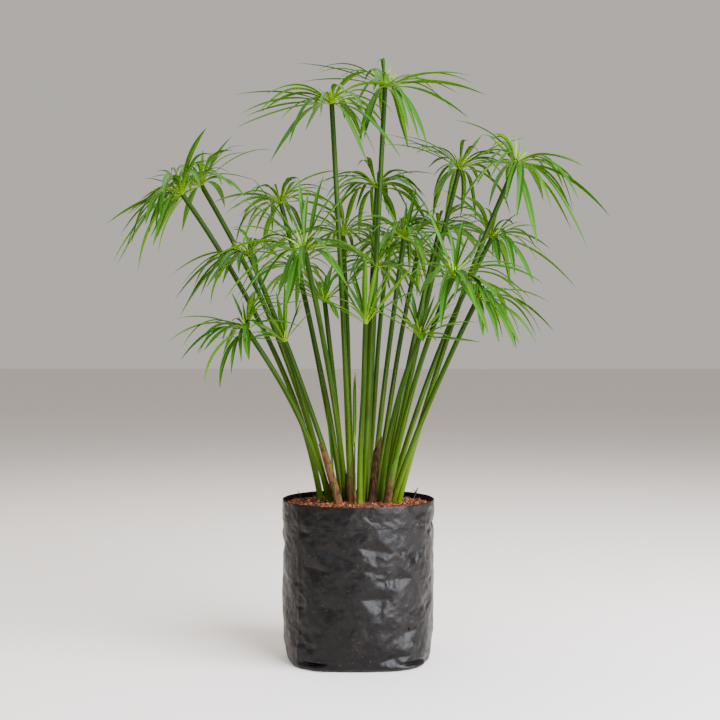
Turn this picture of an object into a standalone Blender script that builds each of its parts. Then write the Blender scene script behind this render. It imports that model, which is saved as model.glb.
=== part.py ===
"""Umbrella sedge in a nursery grow bag: film bag, peat mix, culms, bract whorls, sheaths and shoots.

Metres, +Z up. The origin is the middle of the bag's flat foot, and the plant's front faces -Y.
The tables of places are in millimetres and are scaled by MM where they are read.
"""
import math
import random

import bmesh
import bpy
from mathutils import Vector
from mathutils.bvhtree import BVHTree

MM = 0.001
UP = Vector((0, 0, 1))
GAP = 0.0003

# The bag: a film tube, 254 mm lay-flat, tucked flat at the foot and folded over at the rim
BAG_RADIUS = 0.0806
BAG_HEIGHT = 0.168
BAG_SIDES = 28
FOOT_RADIUS = 0.0775
FOOT_SQUARE = 0.0045
FOOT_OVAL = 0.0015
FOOT_FLAT = 0.062
FOOT_SOLE_INSET = 0.0025
FOOT_SOLE_HEIGHT = 0.0008
FOOT_EDGE_HEIGHT = 0.004
ROUND_FROM = 0.030
TUCKED_TO = 0.060
CUFF_HEIGHT = 0.146
CUFF_EDGE = 0.0006
CUFF_STEP = 0.0007
CUFF_CRUMPLE = 0.0004
FILM_WALL = 0.001
CRUMPLE_LEVELS = [FOOT_EDGE_HEIGHT, 0.018, 0.036, 0.054, 0.072, 0.090, 0.108, 0.127]
CRUMPLE = 0.0010
# The film's plain inner face, from under the rim down: height, radius
LINER = [(0.150, 0.0793), (0.144, 0.0755), (0.030, 0.0755), (0.008, 0.0700), (0.0022, 0.0680)]
# Main dents in the film: angle from +X in degrees, height, half width, half height, depth (mm)
DENTS = [
    (-79, 122, 22, 14, 2.4), (-62, 94, 20, 14, 2.8), (-75, 74, 20, 15, 2.6), (-61, 40, 22, 15, 2.8),
    (-108, 116, 24, 14, 2.0), (-124, 108, 16, 16, 1.6), (-122, 18, 18, 12, 1.8), (-66, 12, 20, 10, 2.2),
    (-35, 112, 18, 16, 2.0), (-30, 62, 18, 16, 2.2), (-146, 60, 22, 20, 1.4), (20, 96, 22, 16, 2.4),
    (52, 60, 22, 16, 2.4), (84, 104, 22, 14, 2.6), (112, 52, 22, 16, 2.4), (148, 92, 22, 16, 2.2),
    (176, 44, 20, 14, 2.2), (70, 24, 20, 12, 2.0), (-3, 30, 18, 14, 2.0), (130, 122, 18, 12, 1.8),
]

# The mix: pressed in to just under the rim and heaped a little at the stems
MIX_EASE = 0.0004
MIX_EDGE = 0.1615
MIX_CROWN = 0.1655
MIX_LUMP = 0.0012
# Rings of its lumpy top: radius, share of the lumps
MIX_RINGS = [(0.0789, 0.4), (0.066, 1.0), (0.047, 1.0), (0.026, 0.6)]
SOCKET_FLOOR = 0.150
SOCKET_EASE = 0.0004
COLLAR_RISE = 0.024

# The culms: round to slightly three-sided, bare from the foot to the whorl
CULM_FOOT_RADIUS = 0.0029
CULM_TOP_RADIUS = 0.0023
CULM_SIDES = 6
FREE_STRETCHES = 3
# number: hub (x, y, z), foot (x, y), bow, form of whorl, reach of its longest bracts
CULMS = {
    "01": ((-28, -20, 585), (-7.5, -17), 0.06, "open", 116),
    "02": ((29, 20, 612), (5, -6), 0.02, "open", 118),
    "03": ((-184, -28, 489), (-37.5, 1), 0.16, "open", 114),
    "04": ((164, -34, 520), (39.5, -1), 0.07, "open", 118),
    "05": ((112, 46, 528), (24.5, 21), 0.02, "open", 108),
    "06": ((-52, -112, 422), (-12, -5), 0.12, "open", 108),
    "07": ((-88, 74, 493), (-15, 26), 0.07, "open", 104),
    "08": ((-112, -42, 423), (-29, 9), 0.09, "open", 100),
    "09": ((-113, -62, 346), (-25, -8), 0.12, "open", 92),
    "10": ((-76, -32, 335), (-17.5, -20.5), 0.07, "young", 76),
    "11": ((21, 88, 513), (5.5, 26), 0.04, "open", 104),
    "12": ((50, 26, 448), (13, -13), 0.06, "open", 100),
    "13": ((7.5, -62, 353), (1, -23), 0.10, "young", 84),
    "14": ((20, 62, 420), (8.5, 12), 0.05, "open", 96),
    "15": ((94, -94, 398), (28, -17.5), 0.12, "open", 100),
    "16": ((145, 24, 448), (30, 7.5), 0.09, "open", 104),
    "17": ((123, -48, 379), (32, -5.5), 0.06, "open", 92),
    "18": ((62, -76, 339), (22.5, -8), 0.20, "young", 80),
    "19": ((68, 108, 435), (16.5, 26), 0.05, "half", 82),
    "20": ((-37, 36, 379), (-13, 9), 0.04, "young", 74),
    "21": ((-18, 118, 461), (-6, 35), 0.06, "half", 96),
    "22": ((93, 96, 464), (25, 33), 0.05, "half", 96),
    "23": ((-170, 16, 505), (-29, 20.5), 0.12, "open", 106),
    "24": ((36, 168, 452), (9, 38), 0.07, "half", 92),
    "25": ((-72, 142, 424), (-17, 38), 0.09, "half", 90),
}

# The whorls: two turns of bracts round a short hub, the lower turn longer and lower
HUB_RADIUS = 0.0031
HUB_SWELL = (0.8, 1.0, 0.82)
HUB_TURN = 0.0016
HUB_CAP = 0.0015
BRACT_WIDTH = 0.0062
BRACT_KEEL = 0.0013
BRACT_CLEAR = 0.0005
PROBE_START = 0.03
STEEP_REACH = 0.012
WIDEST_AT = 0.30
TAPER_AT = 0.65
TAPER_WIDTH = 0.72
BEND_SHARE = 0.46
TIP_SHARE = 0.58
STEEPEST_FALL = -84
UPPER_LENGTH = 0.86
LENGTH_RANGE = (0.82, 1.0)
WIDTH_RANGE = (0.75, 1.05)
HEAVE = 8
# Tries at a bract's place until nothing is in its way: shorter, swayed aside, lifted (degrees)
REST_STRETCHES = (1.0, 0.9, 0.8, 0.7)
REST_SWAYS = (0, 7, -7, 14, -14)
REST_HEAVES = (0, 8, -8, 15)
# The same for a bract that stands out: stretched, and its tip moved up and back (mm)
LEAD_STRETCHES = (1.0, 0.94, 1.05, 0.88)
LEAD_SHIFTS = ((0, 0), (0, 8), (0, -8), (0, 16), (8, 0), (-8, 0), (0, -16), (0, 24))
# A bract that starts steeper than this (degrees) belongs to the upper turn; the rest is in radians
UPPER_LIFT = 32
WRONG_TURN = 0.5
FURTHEST_PLACE = 1.0
# form: places in a turn, lift of the lower and upper turn, least and most droop (degrees)
FORMS = {
    "open": (8, 16, 44, 45, 95),
    "half": (6, 20, 48, 45, 90),
    "young": (5, 36, 62, 8, 38),
}
# Bracts that stand out, each from its hub to its tip: x, y, z, rise of its arch (mm), width factor
LEADS = {
    "01": [(-104, 0, 10, 17, 0.8), (-97, 28, -2, 16, 0.7), (-100, -26, -31, 16, 0.8),
           (-92, -42, -48, 22, 0.9), (-61, -44, -70, 36, 1.15), (-16, -46, -86, 30, 1.15),
           (38, -40, -70, 32, 1.1), (73, -26, -62, 32, 1.0), (-25, -62, -41, 26, 0.8)],
    "02": [(-99, 0, 27, 14, 0.8), (-94, 28, 13, 14, 0.7), (-23, -58, -67, 32, 1.1),
           (96, 16, 17, 18, 0.8), (109, -20, -13, 22, 0.9), (96, 34, -27, 24, 0.8),
           (45, -44, -76, 40, 1.0), (24, -60, -68, 34, 1.1), (78, -10, -73, 46, 0.9),
           (-50, -26, -5, 28, 0.8), (33, 6, 22, 10, 0.6), (-14, 8, 24, 6, 0.7)],
    "03": [(-77, -14, -33, 18, 0.9), (-68, -24, -73, 36, 0.9), (-60, -40, -81, 38, 0.9),
           (-42, -52, -92, 42, 0.9), (-24, -64, -78, 36, 0.9), (-8, -56, -75, 28, 1.15),
           (15, -50, -61, 22, 1.15), (-60, 10, -20, 20, 0.7), (-46, 24, 20, 12, 0.7)],
    "23": [(-62, 26, 12, 15, 0.7), (-3, 34, 46, 8, 0.7), (30, 40, 62, 14, 0.8), (80, 4, 39, 26, 0.8),
           (85, -18, 12, 28, 0.9), (52, -40, -19, 30, 1.15), (39, -52, -41, 32, 1.15)],
    "04": [(97, -10, -57, 32, 1.1), (70, -22, -93, 50, 1.0), (42, -36, -94, 46, 1.1),
           (14, -42, -92, 32, 1.15), (65, 26, -47, 32, 0.8), (61, 40, -8, 22, 0.7),
           (-29, 14, 34, 6, 1.0), (-60, -18, -47, 36, 0.9), (-35, -44, -54, 32, 1.15)],
    "05": [(73, -10, 33, 12, 1.1), (29, 12, 44, 6, 1.1), (50, -30, 8, 20, 0.9), (-31, -36, -38, 12, 1.2),
           (-82, 26, 44, 14, 0.7), (-84, 8, 28, 18, 0.8), (-80, -14, 8, 26, 0.8)],
    "06": [(-53, 12, 74, 8, 1.1), (-8, 22, 78, 4, 1.1), (18, 34, 80, 5, 1.1), (53, 16, 70, 12, 1.1),
           (-66, -4, 50, 18, 0.9), (-74, -12, 20, 22, 0.9), (-90, -10, -9, 27, 0.9),
           (-78, -16, -51, 38, 0.9), (-60, -34, -54, 36, 0.9), (-16, -48, -60, 24, 1.15),
           (72, -26, -18, 24, 1.0), (42, -46, -37, 26, 1.15), (-34, -48, -44, 24, 0.9)],
    "08": [(-82, 4, -19, 26, 0.9), (-75, -18, -46, 36, 0.9), (-68, -34, -57, 40, 0.9)],
    "09": [(-73, 2, 12, 15, 1.0), (-80, -12, -13, 28, 0.8), (-65, -28, -31, 32, 0.8),
           (-39, -40, -22, 24, 0.8), (-17, 8, 40, 4, 1.0), (8, 14, 44, 4, 0.9)],
    "10": [(-38, 10, 22, 8, 0.7), (-38, -8, 8, 10, 0.7), (-34, -20, 2, 10, 0.7), (-22, -12, 34, 3, 0.9),
           (-10, 4, 54, 2, 1.0), (17, -4, 48, 2, 0.8), (28, -14, 40, 3, 0.7), (37, -10, 2, 14, 0.8)],
    "12": [(-28, 12, 52, 6, 1.1), (14, 6, 59, 3, 1.1), (3, 14, 44, 2, 0.7), (54, 0, 53, 6, 1.0),
           (80, -10, 32, 14, 1.1), (-62, -6, 8, 20, 1.0), (-60, -24, -16, 24, 0.8), (70, -26, -14, 26, 0.9)],
    "13": [(-28, -10, 46, 3, 0.9), (-14, -20, 62, 2, 1.0), (0, -18, 70, 1, 1.1), (8, 10, 68, 1, 1.0),
           (30, -8, 60, 2, 0.8), (50, -14, 60, 4, 1.1), (38, -26, 42, 4, 1.0), (24, -30, 22, 6, 0.7)],
    "14": [(44, -4, 30, 4, 1.0), (63, -10, -8, 12, 0.8), (15, 6, 46, 2, 1.15), (-34, -22, -22, 14, 1.1)],
    "15": [(77, 2, 5, 26, 0.9), (87, -22, -9, 31, 0.9), (-36, -36, -22, 28, 1.1), (-68, -8, 6, 22, 0.9),
           (-47, 14, 58, 8, 1.1), (-26, 20, 76, 5, 1.1), (12, 16, 60, 4, 1.1), (38, 10, 42, 8, 1.0)],
    "16": [(33, 8, 30, 8, 1.0), (54, 4, 16, 14, 0.9), (70, -10, -16, 24, 0.8), (84, -22, -31, 30, 0.8),
           (90, 4, -44, 30, 0.8), (78, 20, -53, 40, 0.8), (4, -48, -36, 24, 1.0), (41, -42, -54, 36, 1.1)],
    "17": [(0, -52, -41, 20, 0.9), (38, -42, -50, 32, 0.9), (78, -12, -36, 34, 0.9), (77, 6, -4, 24, 0.8)],
    "18": [(-20, -6, 56, 3, 0.9), (-32, -14, 38, 5, 0.8), (-9, 8, 52, 2, 0.9), (28, -10, 52, 3, 1.1),
           (32, -20, 38, 4, 0.9), (54, -8, 38, 6, 0.8), (58, -16, 14, 12, 0.8), (2, -16, 40, 2, 0.8)],
    "20": [(-4, -2, 30, 2, 0.8), (24, -6, 28, 3, 0.8), (16, -18, -20, 12, 1.0), (-52, 0, 30, 6, 0.7)],
}

# Brown papery sheaths: number of the culm, height that it reaches
SHEATHS = {"01": 0.196, "10": 0.213, "12": 0.219, "15": 0.199}
SHEATH_RADIUS = 0.0043
SHEATH_TOP_RADIUS = 0.0036
SHEATH_POINT = 0.006
SHEATH_EASE = 0.0004

# New growth: foot (x, y), tip (x, y, z), thickness at the foot and at the swelling (radii), its place
SHOOTS = {
    "spear": ((-3, -32), (-4, -38, 305), 1.5, 2.7, 0.78),
    "spike": ((-21, -30), (-33, -40, 274), 1.4, 1.9, 0.70),
}
SHOOT_SWELLING = 0.22
SHOOT_NECK = 0.8
SHOOT_POINT = 0.3

COLOURS = {
    "grow_bag": ((0.018, 0.018, 0.020, 1), 0.38),
    "growing_mix": ((0.13, 0.062, 0.033, 1), 0.95),
    "culm": ((0.060, 0.160, 0.012, 1), 0.45),
    "whorl": ((0.085, 0.260, 0.030, 1), 0.42),
    "sheath": ((0.110, 0.065, 0.032, 1), 0.75),
    "shoot": ((0.130, 0.330, 0.040, 1), 0.45),
}


def clear_scene():
    for item in list(bpy.data.objects):
        bpy.data.objects.remove(item, do_unlink=True)


def material(kind):
    found = bpy.data.materials.get(kind)
    if found:
        return found
    colour, roughness = COLOURS[kind]
    made = bpy.data.materials.new(kind)
    made.use_nodes = True
    shader = made.node_tree.nodes["Principled BSDF"]
    shader.inputs["Base Color"].default_value = colour
    shader.inputs["Roughness"].default_value = roughness
    shader.inputs["Metallic"].default_value = 0.0
    return made


def add_object(name, kind, verts, faces, crease=35):
    """An object from points and faces, its faces turned outward and its round sides shaded smooth."""
    mesh = bpy.data.meshes.new(name)
    shape = bmesh.new()
    points = [shape.verts.new(v) for v in verts]
    for face in faces:
        shape.faces.new([points[i] for i in face])
    bmesh.ops.recalc_face_normals(shape, faces=shape.faces)
    shape.to_mesh(mesh)
    shape.free()
    mesh.shade_smooth()
    mesh.set_sharp_from_angle(angle=math.radians(crease))
    mesh.materials.append(material(kind))
    made = bpy.data.objects.new(name, mesh)
    bpy.context.scene.collection.objects.link(made)
    return made


def curve_point(start, bend, end, t):
    return start * (1 - t) ** 2 + bend * (2 * t * (1 - t)) + end * t ** 2


def curve_direction(start, bend, end, t):
    return ((bend - start) * (1 - t) + (end - bend) * t).normalized()


def cross_frame(direction):
    """Two unit vectors square to a direction, the first one as near to +X as it can be."""
    first = Vector((1, 0, 0)) - direction * direction.x
    first.normalize()
    return first, direction.cross(first)


def tube_mesh(points, directions, radii, sides):
    """Points and faces of a closed tube through a row of points."""
    verts = []
    for point, direction, radius in zip(points, directions, radii):
        first, second = cross_frame(direction)
        for k in range(sides):
            angle = 2 * math.pi * k / sides
            verts.append(point + first * (radius * math.cos(angle)) + second * (radius * math.sin(angle)))
    faces = [tuple(range(sides))[::-1]]
    for ring in range(len(points) - 1):
        faces += ring_quads(ring * sides, (ring + 1) * sides, sides)
    faces.append(tuple(range((len(points) - 1) * sides, len(points) * sides)))
    return verts, faces


def ring_quads(low, high, count):
    return [(low + k, low + (k + 1) % count, high + (k + 1) % count, high + k) for k in range(count)]


def staggered_faces(low, high, count, low_shifted):
    """Triangles between two rings of points where one is turned by half a side."""
    faces = []
    for k in range(count):
        after = (k + 1) % count
        if low_shifted:
            faces += [(low + k, high + after, high + k), (low + k, low + after, high + after)]
        else:
            faces += [(low + k, low + after, high + k), (high + k, low + after, high + after)]
    return faces


def dented(angle, height):
    """How far the film stands inside its round at a place, from the main dents."""
    depth = 0.0
    for centre, level, half_width, half_height, deep in DENTS:
        turn = (angle - math.radians(centre) + math.pi) % (2 * math.pi) - math.pi
        across = abs(turn) * BAG_RADIUS / (half_width * MM)
        along = abs(height - level * MM) / (half_height * MM)
        depth = max(depth, deep * MM * (1 - across - along))
    return depth


def film_radius(angle, height):
    """Outer radius of the bag: squarish where the foot is tucked, round from a third of the way up."""
    rise = min(1.0, height / ROUND_FROM)
    fade = max(0.0, 1 - height / TUCKED_TO) ** 2
    tucked = FOOT_OVAL * math.cos(2 * angle) - FOOT_SQUARE * math.cos(4 * angle)
    radius = FOOT_RADIUS + (BAG_RADIUS - FOOT_RADIUS) * rise * (2 - rise)
    return radius + tucked * fade - dented(angle, height)


def crumpled_radius(angle, height, chance):
    return film_radius(angle, height) + chance.uniform(-CRUMPLE, CRUMPLE)


def sole_radius(angle):
    return film_radius(angle, 0) - FOOT_SOLE_INSET


def ring_points(count, shifted, height, radius_at):
    points = []
    for k in range(count):
        angle = 2 * math.pi * (k + 0.5 * shifted) / count
        radius = radius_at(angle)
        points.append(Vector((radius * math.cos(angle), radius * math.sin(angle), height)))
    return points


def build_bag():
    """A cup of film: crumpled outside in staggered rings of facets, plain inside against the mix."""
    chance = random.Random(11)
    verts = [Vector((0, 0, 0))]
    verts += ring_points(BAG_SIDES, 0, 0.0, lambda angle: FOOT_FLAT)
    verts += ring_points(BAG_SIDES, 0, FOOT_SOLE_HEIGHT, sole_radius)
    faces = [(0, 1 + (k + 1) % BAG_SIDES, 1 + k) for k in range(BAG_SIDES)]
    faces += ring_quads(1, 1 + BAG_SIDES, BAG_SIDES)
    shifted = 0
    for height in CRUMPLE_LEVELS:
        turned = 1 - shifted
        low = len(verts) - BAG_SIDES
        verts += ring_points(BAG_SIDES, turned, height, lambda angle: crumpled_radius(angle, height, chance))
        faces += staggered_faces(low, low + BAG_SIDES, BAG_SIDES, shifted)
        shifted = turned
    low = len(verts) - BAG_SIDES
    side = 2 * math.pi / BAG_SIDES
    under_cuff = [film_radius(side * k, CUFF_HEIGHT) + chance.uniform(-CUFF_CRUMPLE, CUFF_CRUMPLE)
                  for k in range(BAG_SIDES)]
    cuff = [(CUFF_HEIGHT, 0.0), (CUFF_HEIGHT + CUFF_EDGE, CUFF_STEP), (BAG_HEIGHT, CUFF_STEP),
            (BAG_HEIGHT, CUFF_STEP - FILM_WALL)]
    for height, step in cuff:
        verts += ring_points(BAG_SIDES, 0, height, lambda angle: under_cuff[round(angle / side)] + step)
    faces += staggered_faces(low, low + BAG_SIDES, BAG_SIDES, shifted)
    for height, radius in LINER:
        verts += ring_points(BAG_SIDES, 0, height, lambda angle: radius)
    for ring in range(len(cuff) + len(LINER) - 1):
        first = low + (ring + 1) * BAG_SIDES
        faces += ring_quads(first, first + BAG_SIDES, BAG_SIDES)
    low = len(verts) - BAG_SIDES
    verts.append(Vector((0, 0, LINER[-1][0])))
    faces += [(low + k, low + (k + 1) % BAG_SIDES, len(verts) - 1) for k in range(BAG_SIDES)]
    return add_object("grow_bag", "grow_bag", verts, faces, crease=14)


def build_mix(socket_cutter):
    """The block of mix: it fills the bag, its top is lumpy, and each culm stands in a socket in it."""
    chance = random.Random(5)
    floor = LINER[-1][0] + MIX_EASE
    verts = [Vector((0, 0, floor))]
    faces = [(0, 1 + (k + 1) % BAG_SIDES, 1 + k) for k in range(BAG_SIDES)]
    for height, radius in reversed(LINER):
        verts += ring_points(BAG_SIDES, 0, max(height, floor), lambda angle: radius - MIX_EASE)
    for radius, lump in MIX_RINGS:
        ring = ring_points(BAG_SIDES, 0, 0.0, lambda angle: radius)
        crown = MIX_EDGE + (MIX_CROWN - MIX_EDGE) * (1 - (radius / MIX_RINGS[0][0]) ** 2)
        for point in ring:
            point.z = crown + chance.uniform(-MIX_LUMP, MIX_LUMP) * lump
        verts += ring
    for ring in range(len(LINER) + len(MIX_RINGS) - 1):
        faces += ring_quads(1 + ring * BAG_SIDES, 1 + (ring + 1) * BAG_SIDES, BAG_SIDES)
    low = len(verts) - BAG_SIDES
    verts.append(Vector((0, 0, MIX_CROWN)))
    faces += [(low + k, low + (k + 1) % BAG_SIDES, len(verts) - 1) for k in range(BAG_SIDES)]
    mix = add_object("growing_mix", "growing_mix", verts, faces, crease=20)
    sockets = mix.modifiers.new("sockets", "BOOLEAN")
    sockets.operation = "DIFFERENCE"
    sockets.solver = "EXACT"
    sockets.object = socket_cutter
    return mix


def culm_path(number):
    """Start, bend and end of a culm's middle line, from its foot in the mix to under its whorl."""
    hub, foot, bow, _, _ = CULMS[number]
    start = Vector((foot[0] * MM, foot[1] * MM, SOCKET_FLOOR + GAP))
    end = Vector(hub) * MM
    lean = Vector((end.x - start.x, end.y - start.y, 0))
    return start, (start + end) / 2 - lean * (2 * bow), end


def culm_radius(t):
    return CULM_FOOT_RADIUS + (CULM_TOP_RADIUS - CULM_FOOT_RADIUS) * t


def straight_steps(number):
    """Steps along a culm's path where its foot stretch and its sheath, if it has one, end."""
    path = culm_path(number)
    steps = [0.0, COLLAR_RISE / (path[2].z - path[0].z)]
    if number in SHEATHS:
        steps.append((SHEATHS[number] - path[0].z) / (path[2].z - path[0].z))
    return steps


def culm_mesh(number, extra=0.0):
    path = culm_path(number)
    steps = straight_steps(number)
    last = steps[-1]
    steps += [last + (1 - last) * k / FREE_STRETCHES for k in range(1, FREE_STRETCHES + 1)]
    points = [curve_point(*path, t) for t in steps]
    directions = [curve_direction(*path, t) for t in steps]
    radii = [culm_radius(t) + extra for t in steps]
    return tube_mesh(points, directions, radii, CULM_SIDES)


def sheath_rings(number):
    """Places along a sheathed culm: middle, direction, inner radius, outer radius."""
    path = culm_path(number)
    steps = straight_steps(number)
    rings = []
    for t in steps:
        part = t / steps[-1]
        outer = SHEATH_RADIUS + (SHEATH_TOP_RADIUS - SHEATH_RADIUS) * part
        inner = culm_radius(t) + SHEATH_EASE
        rings.append((curve_point(*path, t), curve_direction(*path, t), inner, outer))
    return rings


def build_sheath(number):
    """A papery sleeve round the foot of a culm, its top edge cut on the slant."""
    rings = sheath_rings(number)
    order = [(ring, 3) for ring in rings] + [(ring, 2) for ring in reversed(rings)]
    verts = []
    for ring, wall in order:
        first, second = cross_frame(ring[1])
        for k in range(CULM_SIDES):
            angle = 2 * math.pi * k / CULM_SIDES
            outward = first * math.cos(angle) + second * math.sin(angle)
            slant = SHEATH_POINT * 0.5 * math.sin(angle) if ring is rings[-1] else 0.0
            verts.append(ring[0] + outward * ring[wall] + ring[1] * slant)
    faces = []
    for ring in range(len(order)):
        after = (ring + 1) % len(order)
        faces += ring_quads(ring * CULM_SIDES, after * CULM_SIDES, CULM_SIDES)
    return add_object("sheath_" + number, "sheath", verts, faces)


def shoot_mesh(name):
    """A shoot: a thin stem that swells to a closed spear of leaves and ends in a point."""
    foot, tip, foot_radius, swell_radius, swell_at = SHOOTS[name]
    start = Vector((foot[0] * MM, foot[1] * MM, SOCKET_FLOOR + GAP))
    end = Vector(tip) * MM
    steps = [0.0, swell_at - SHOOT_SWELLING, swell_at, 1.0]
    radii = [foot_radius, foot_radius * SHOOT_NECK, swell_radius, SHOOT_POINT]
    direction = (end - start).normalized()
    points = [start + (end - start) * t for t in steps]
    return tube_mesh(points, [direction] * len(steps), [r * MM for r in radii], CULM_SIDES)


def build_socket_cutter():
    """Short tubes round every culm's and shoot's foot, which leave the sockets in the mix."""
    verts = []
    faces = []
    for number in CULMS:
        path = culm_path(number)
        collar = straight_steps(number)[1]
        radius = SHEATH_RADIUS if number in SHEATHS else CULM_FOOT_RADIUS
        foot, top = path[0], curve_point(*path, collar)
        points = [foot - (top - foot).normalized() * GAP, top]
        directions = [curve_direction(*path, 0), curve_direction(*path, collar)]
        add_part(verts, faces, tube_mesh(points, directions, [radius + SOCKET_EASE] * 2, CULM_SIDES))
    for name in SHOOTS:
        foot, tip, foot_radius, _, _ = SHOOTS[name]
        start = Vector((foot[0] * MM, foot[1] * MM, SOCKET_FLOOR + GAP))
        direction = (Vector(tip) * MM - start).normalized()
        points = [start - direction * GAP, start + direction * COLLAR_RISE]
        radii = [foot_radius * MM + SOCKET_EASE] * 2
        add_part(verts, faces, tube_mesh(points, [direction] * 2, radii, CULM_SIDES))
    cutter = add_object("socket_cutter", "growing_mix", verts, faces)
    cutter.hide_render = True
    cutter.display_type = "WIRE"
    return cutter


def add_part(verts, faces, part):
    offset = len(verts)
    verts += part[0]
    faces += [tuple(index + offset for index in face) for face in part[1]]


def bract_section(centre, direction, side, width, keel, grow=0.0):
    """Left edge, right edge and keel of a bract where its middle line passes a point."""
    normal = direction.cross(side)
    half = width / 2 + grow
    lift = normal * grow
    return [centre - side * half + lift, centre + side * half + lift, centre - normal * (keel + grow)]


def bract_sections(bract, grow=0.0):
    root, bend, tip, width, side = bract
    sections = []
    for t, share in ((WIDEST_AT, 1.0), (TAPER_AT, TAPER_WIDTH)):
        centre = curve_point(root, bend, tip, t)
        direction = curve_direction(root, bend, tip, t)
        sections.append(bract_section(centre, direction, side, width * share, BRACT_KEEL * share, grow))
    return sections


def outward_pair(verts, a, b, c, d):
    """The two triangles of a bent four-cornered face, split so that its ridge stands outward."""
    normal = (verts[b] - verts[a]).cross(verts[c] - verts[a])
    if (verts[d] - verts[a]).dot(normal) < 0:
        return [(a, b, c), (a, c, d)]
    return [(a, b, d), (b, c, d)]


def bract_body(bract, facet):
    """Points and faces of a bract from the four corners of its facet to its tip."""
    verts = list(facet)
    for section in bract_sections(bract):
        verts += section
    verts.append(bract[2])
    faces = outward_pair(verts, 2, 3, 4, 5) + outward_pair(verts, 1, 2, 5, 6)
    faces += outward_pair(verts, 3, 0, 6, 4) + [(0, 1, 6)]
    faces += [(5, 4, 7, 8), (6, 5, 8, 9), (4, 6, 9, 7), (8, 7, 10), (9, 8, 10), (7, 9, 10)]
    return verts, faces


def are_crossing(part, other):
    """True where a face of one piece crosses a face of the other that it shares no corner with."""
    corners = [[{tuple(verts[i]) for i in face} for face in faces] for verts, faces in (part, other)]
    pairs = BVHTree.FromPolygons(*part).overlap(BVHTree.FromPolygons(*other))
    return any(not corners[0][a] & corners[1][b] for a, b in pairs)


def bract_probe(bract, facet):
    """A slightly fatter copy of a bract from just off its facet to its tip, to test for clearance."""
    _, bend, tip, _, side = bract
    sections = bract_sections(bract, BRACT_CLEAR)
    last = (tip - bend).normalized()
    sections.append(bract_section(tip, last, side, 0.0, 0.0, BRACT_CLEAR))
    left, right, keel = sections[0]
    ends = (keel, keel, right, left)
    verts = [corner + (end - corner) * PROBE_START for corner, end in zip(facet, ends)]
    verts += [corner for section in sections for corner in section]
    faces = [(3, 2, 5, 4), (2, 1, 6, 5), (0, 3, 4, 6), (1, 0, 6), (0, 1, 2, 3)]
    for ring in range(len(sections) - 1):
        faces += ring_quads(4 + ring * 3, 7 + ring * 3, 3)
    faces.append((len(verts) - 3, len(verts) - 2, len(verts) - 1))
    return verts, faces


class Space:
    """What already stands in the crown, each piece as a box and a tree of its faces."""

    def __init__(self):
        self.pieces = []

    def measure(self, part):
        verts, faces = part
        low = [min(v[axis] for v in verts) for axis in range(3)]
        high = [max(v[axis] for v in verts) for axis in range(3)]
        return low, high, BVHTree.FromPolygons(verts, faces)

    def add(self, part):
        self.pieces.append(self.measure(part))

    def is_free(self, part):
        low, high, tree = self.measure(part)
        for other_low, other_high, other in self.pieces:
            apart = any(low[k] > other_high[k] or other_low[k] > high[k] for k in range(3))
            if not apart and tree.overlap(other):
                return False
        return True


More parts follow.
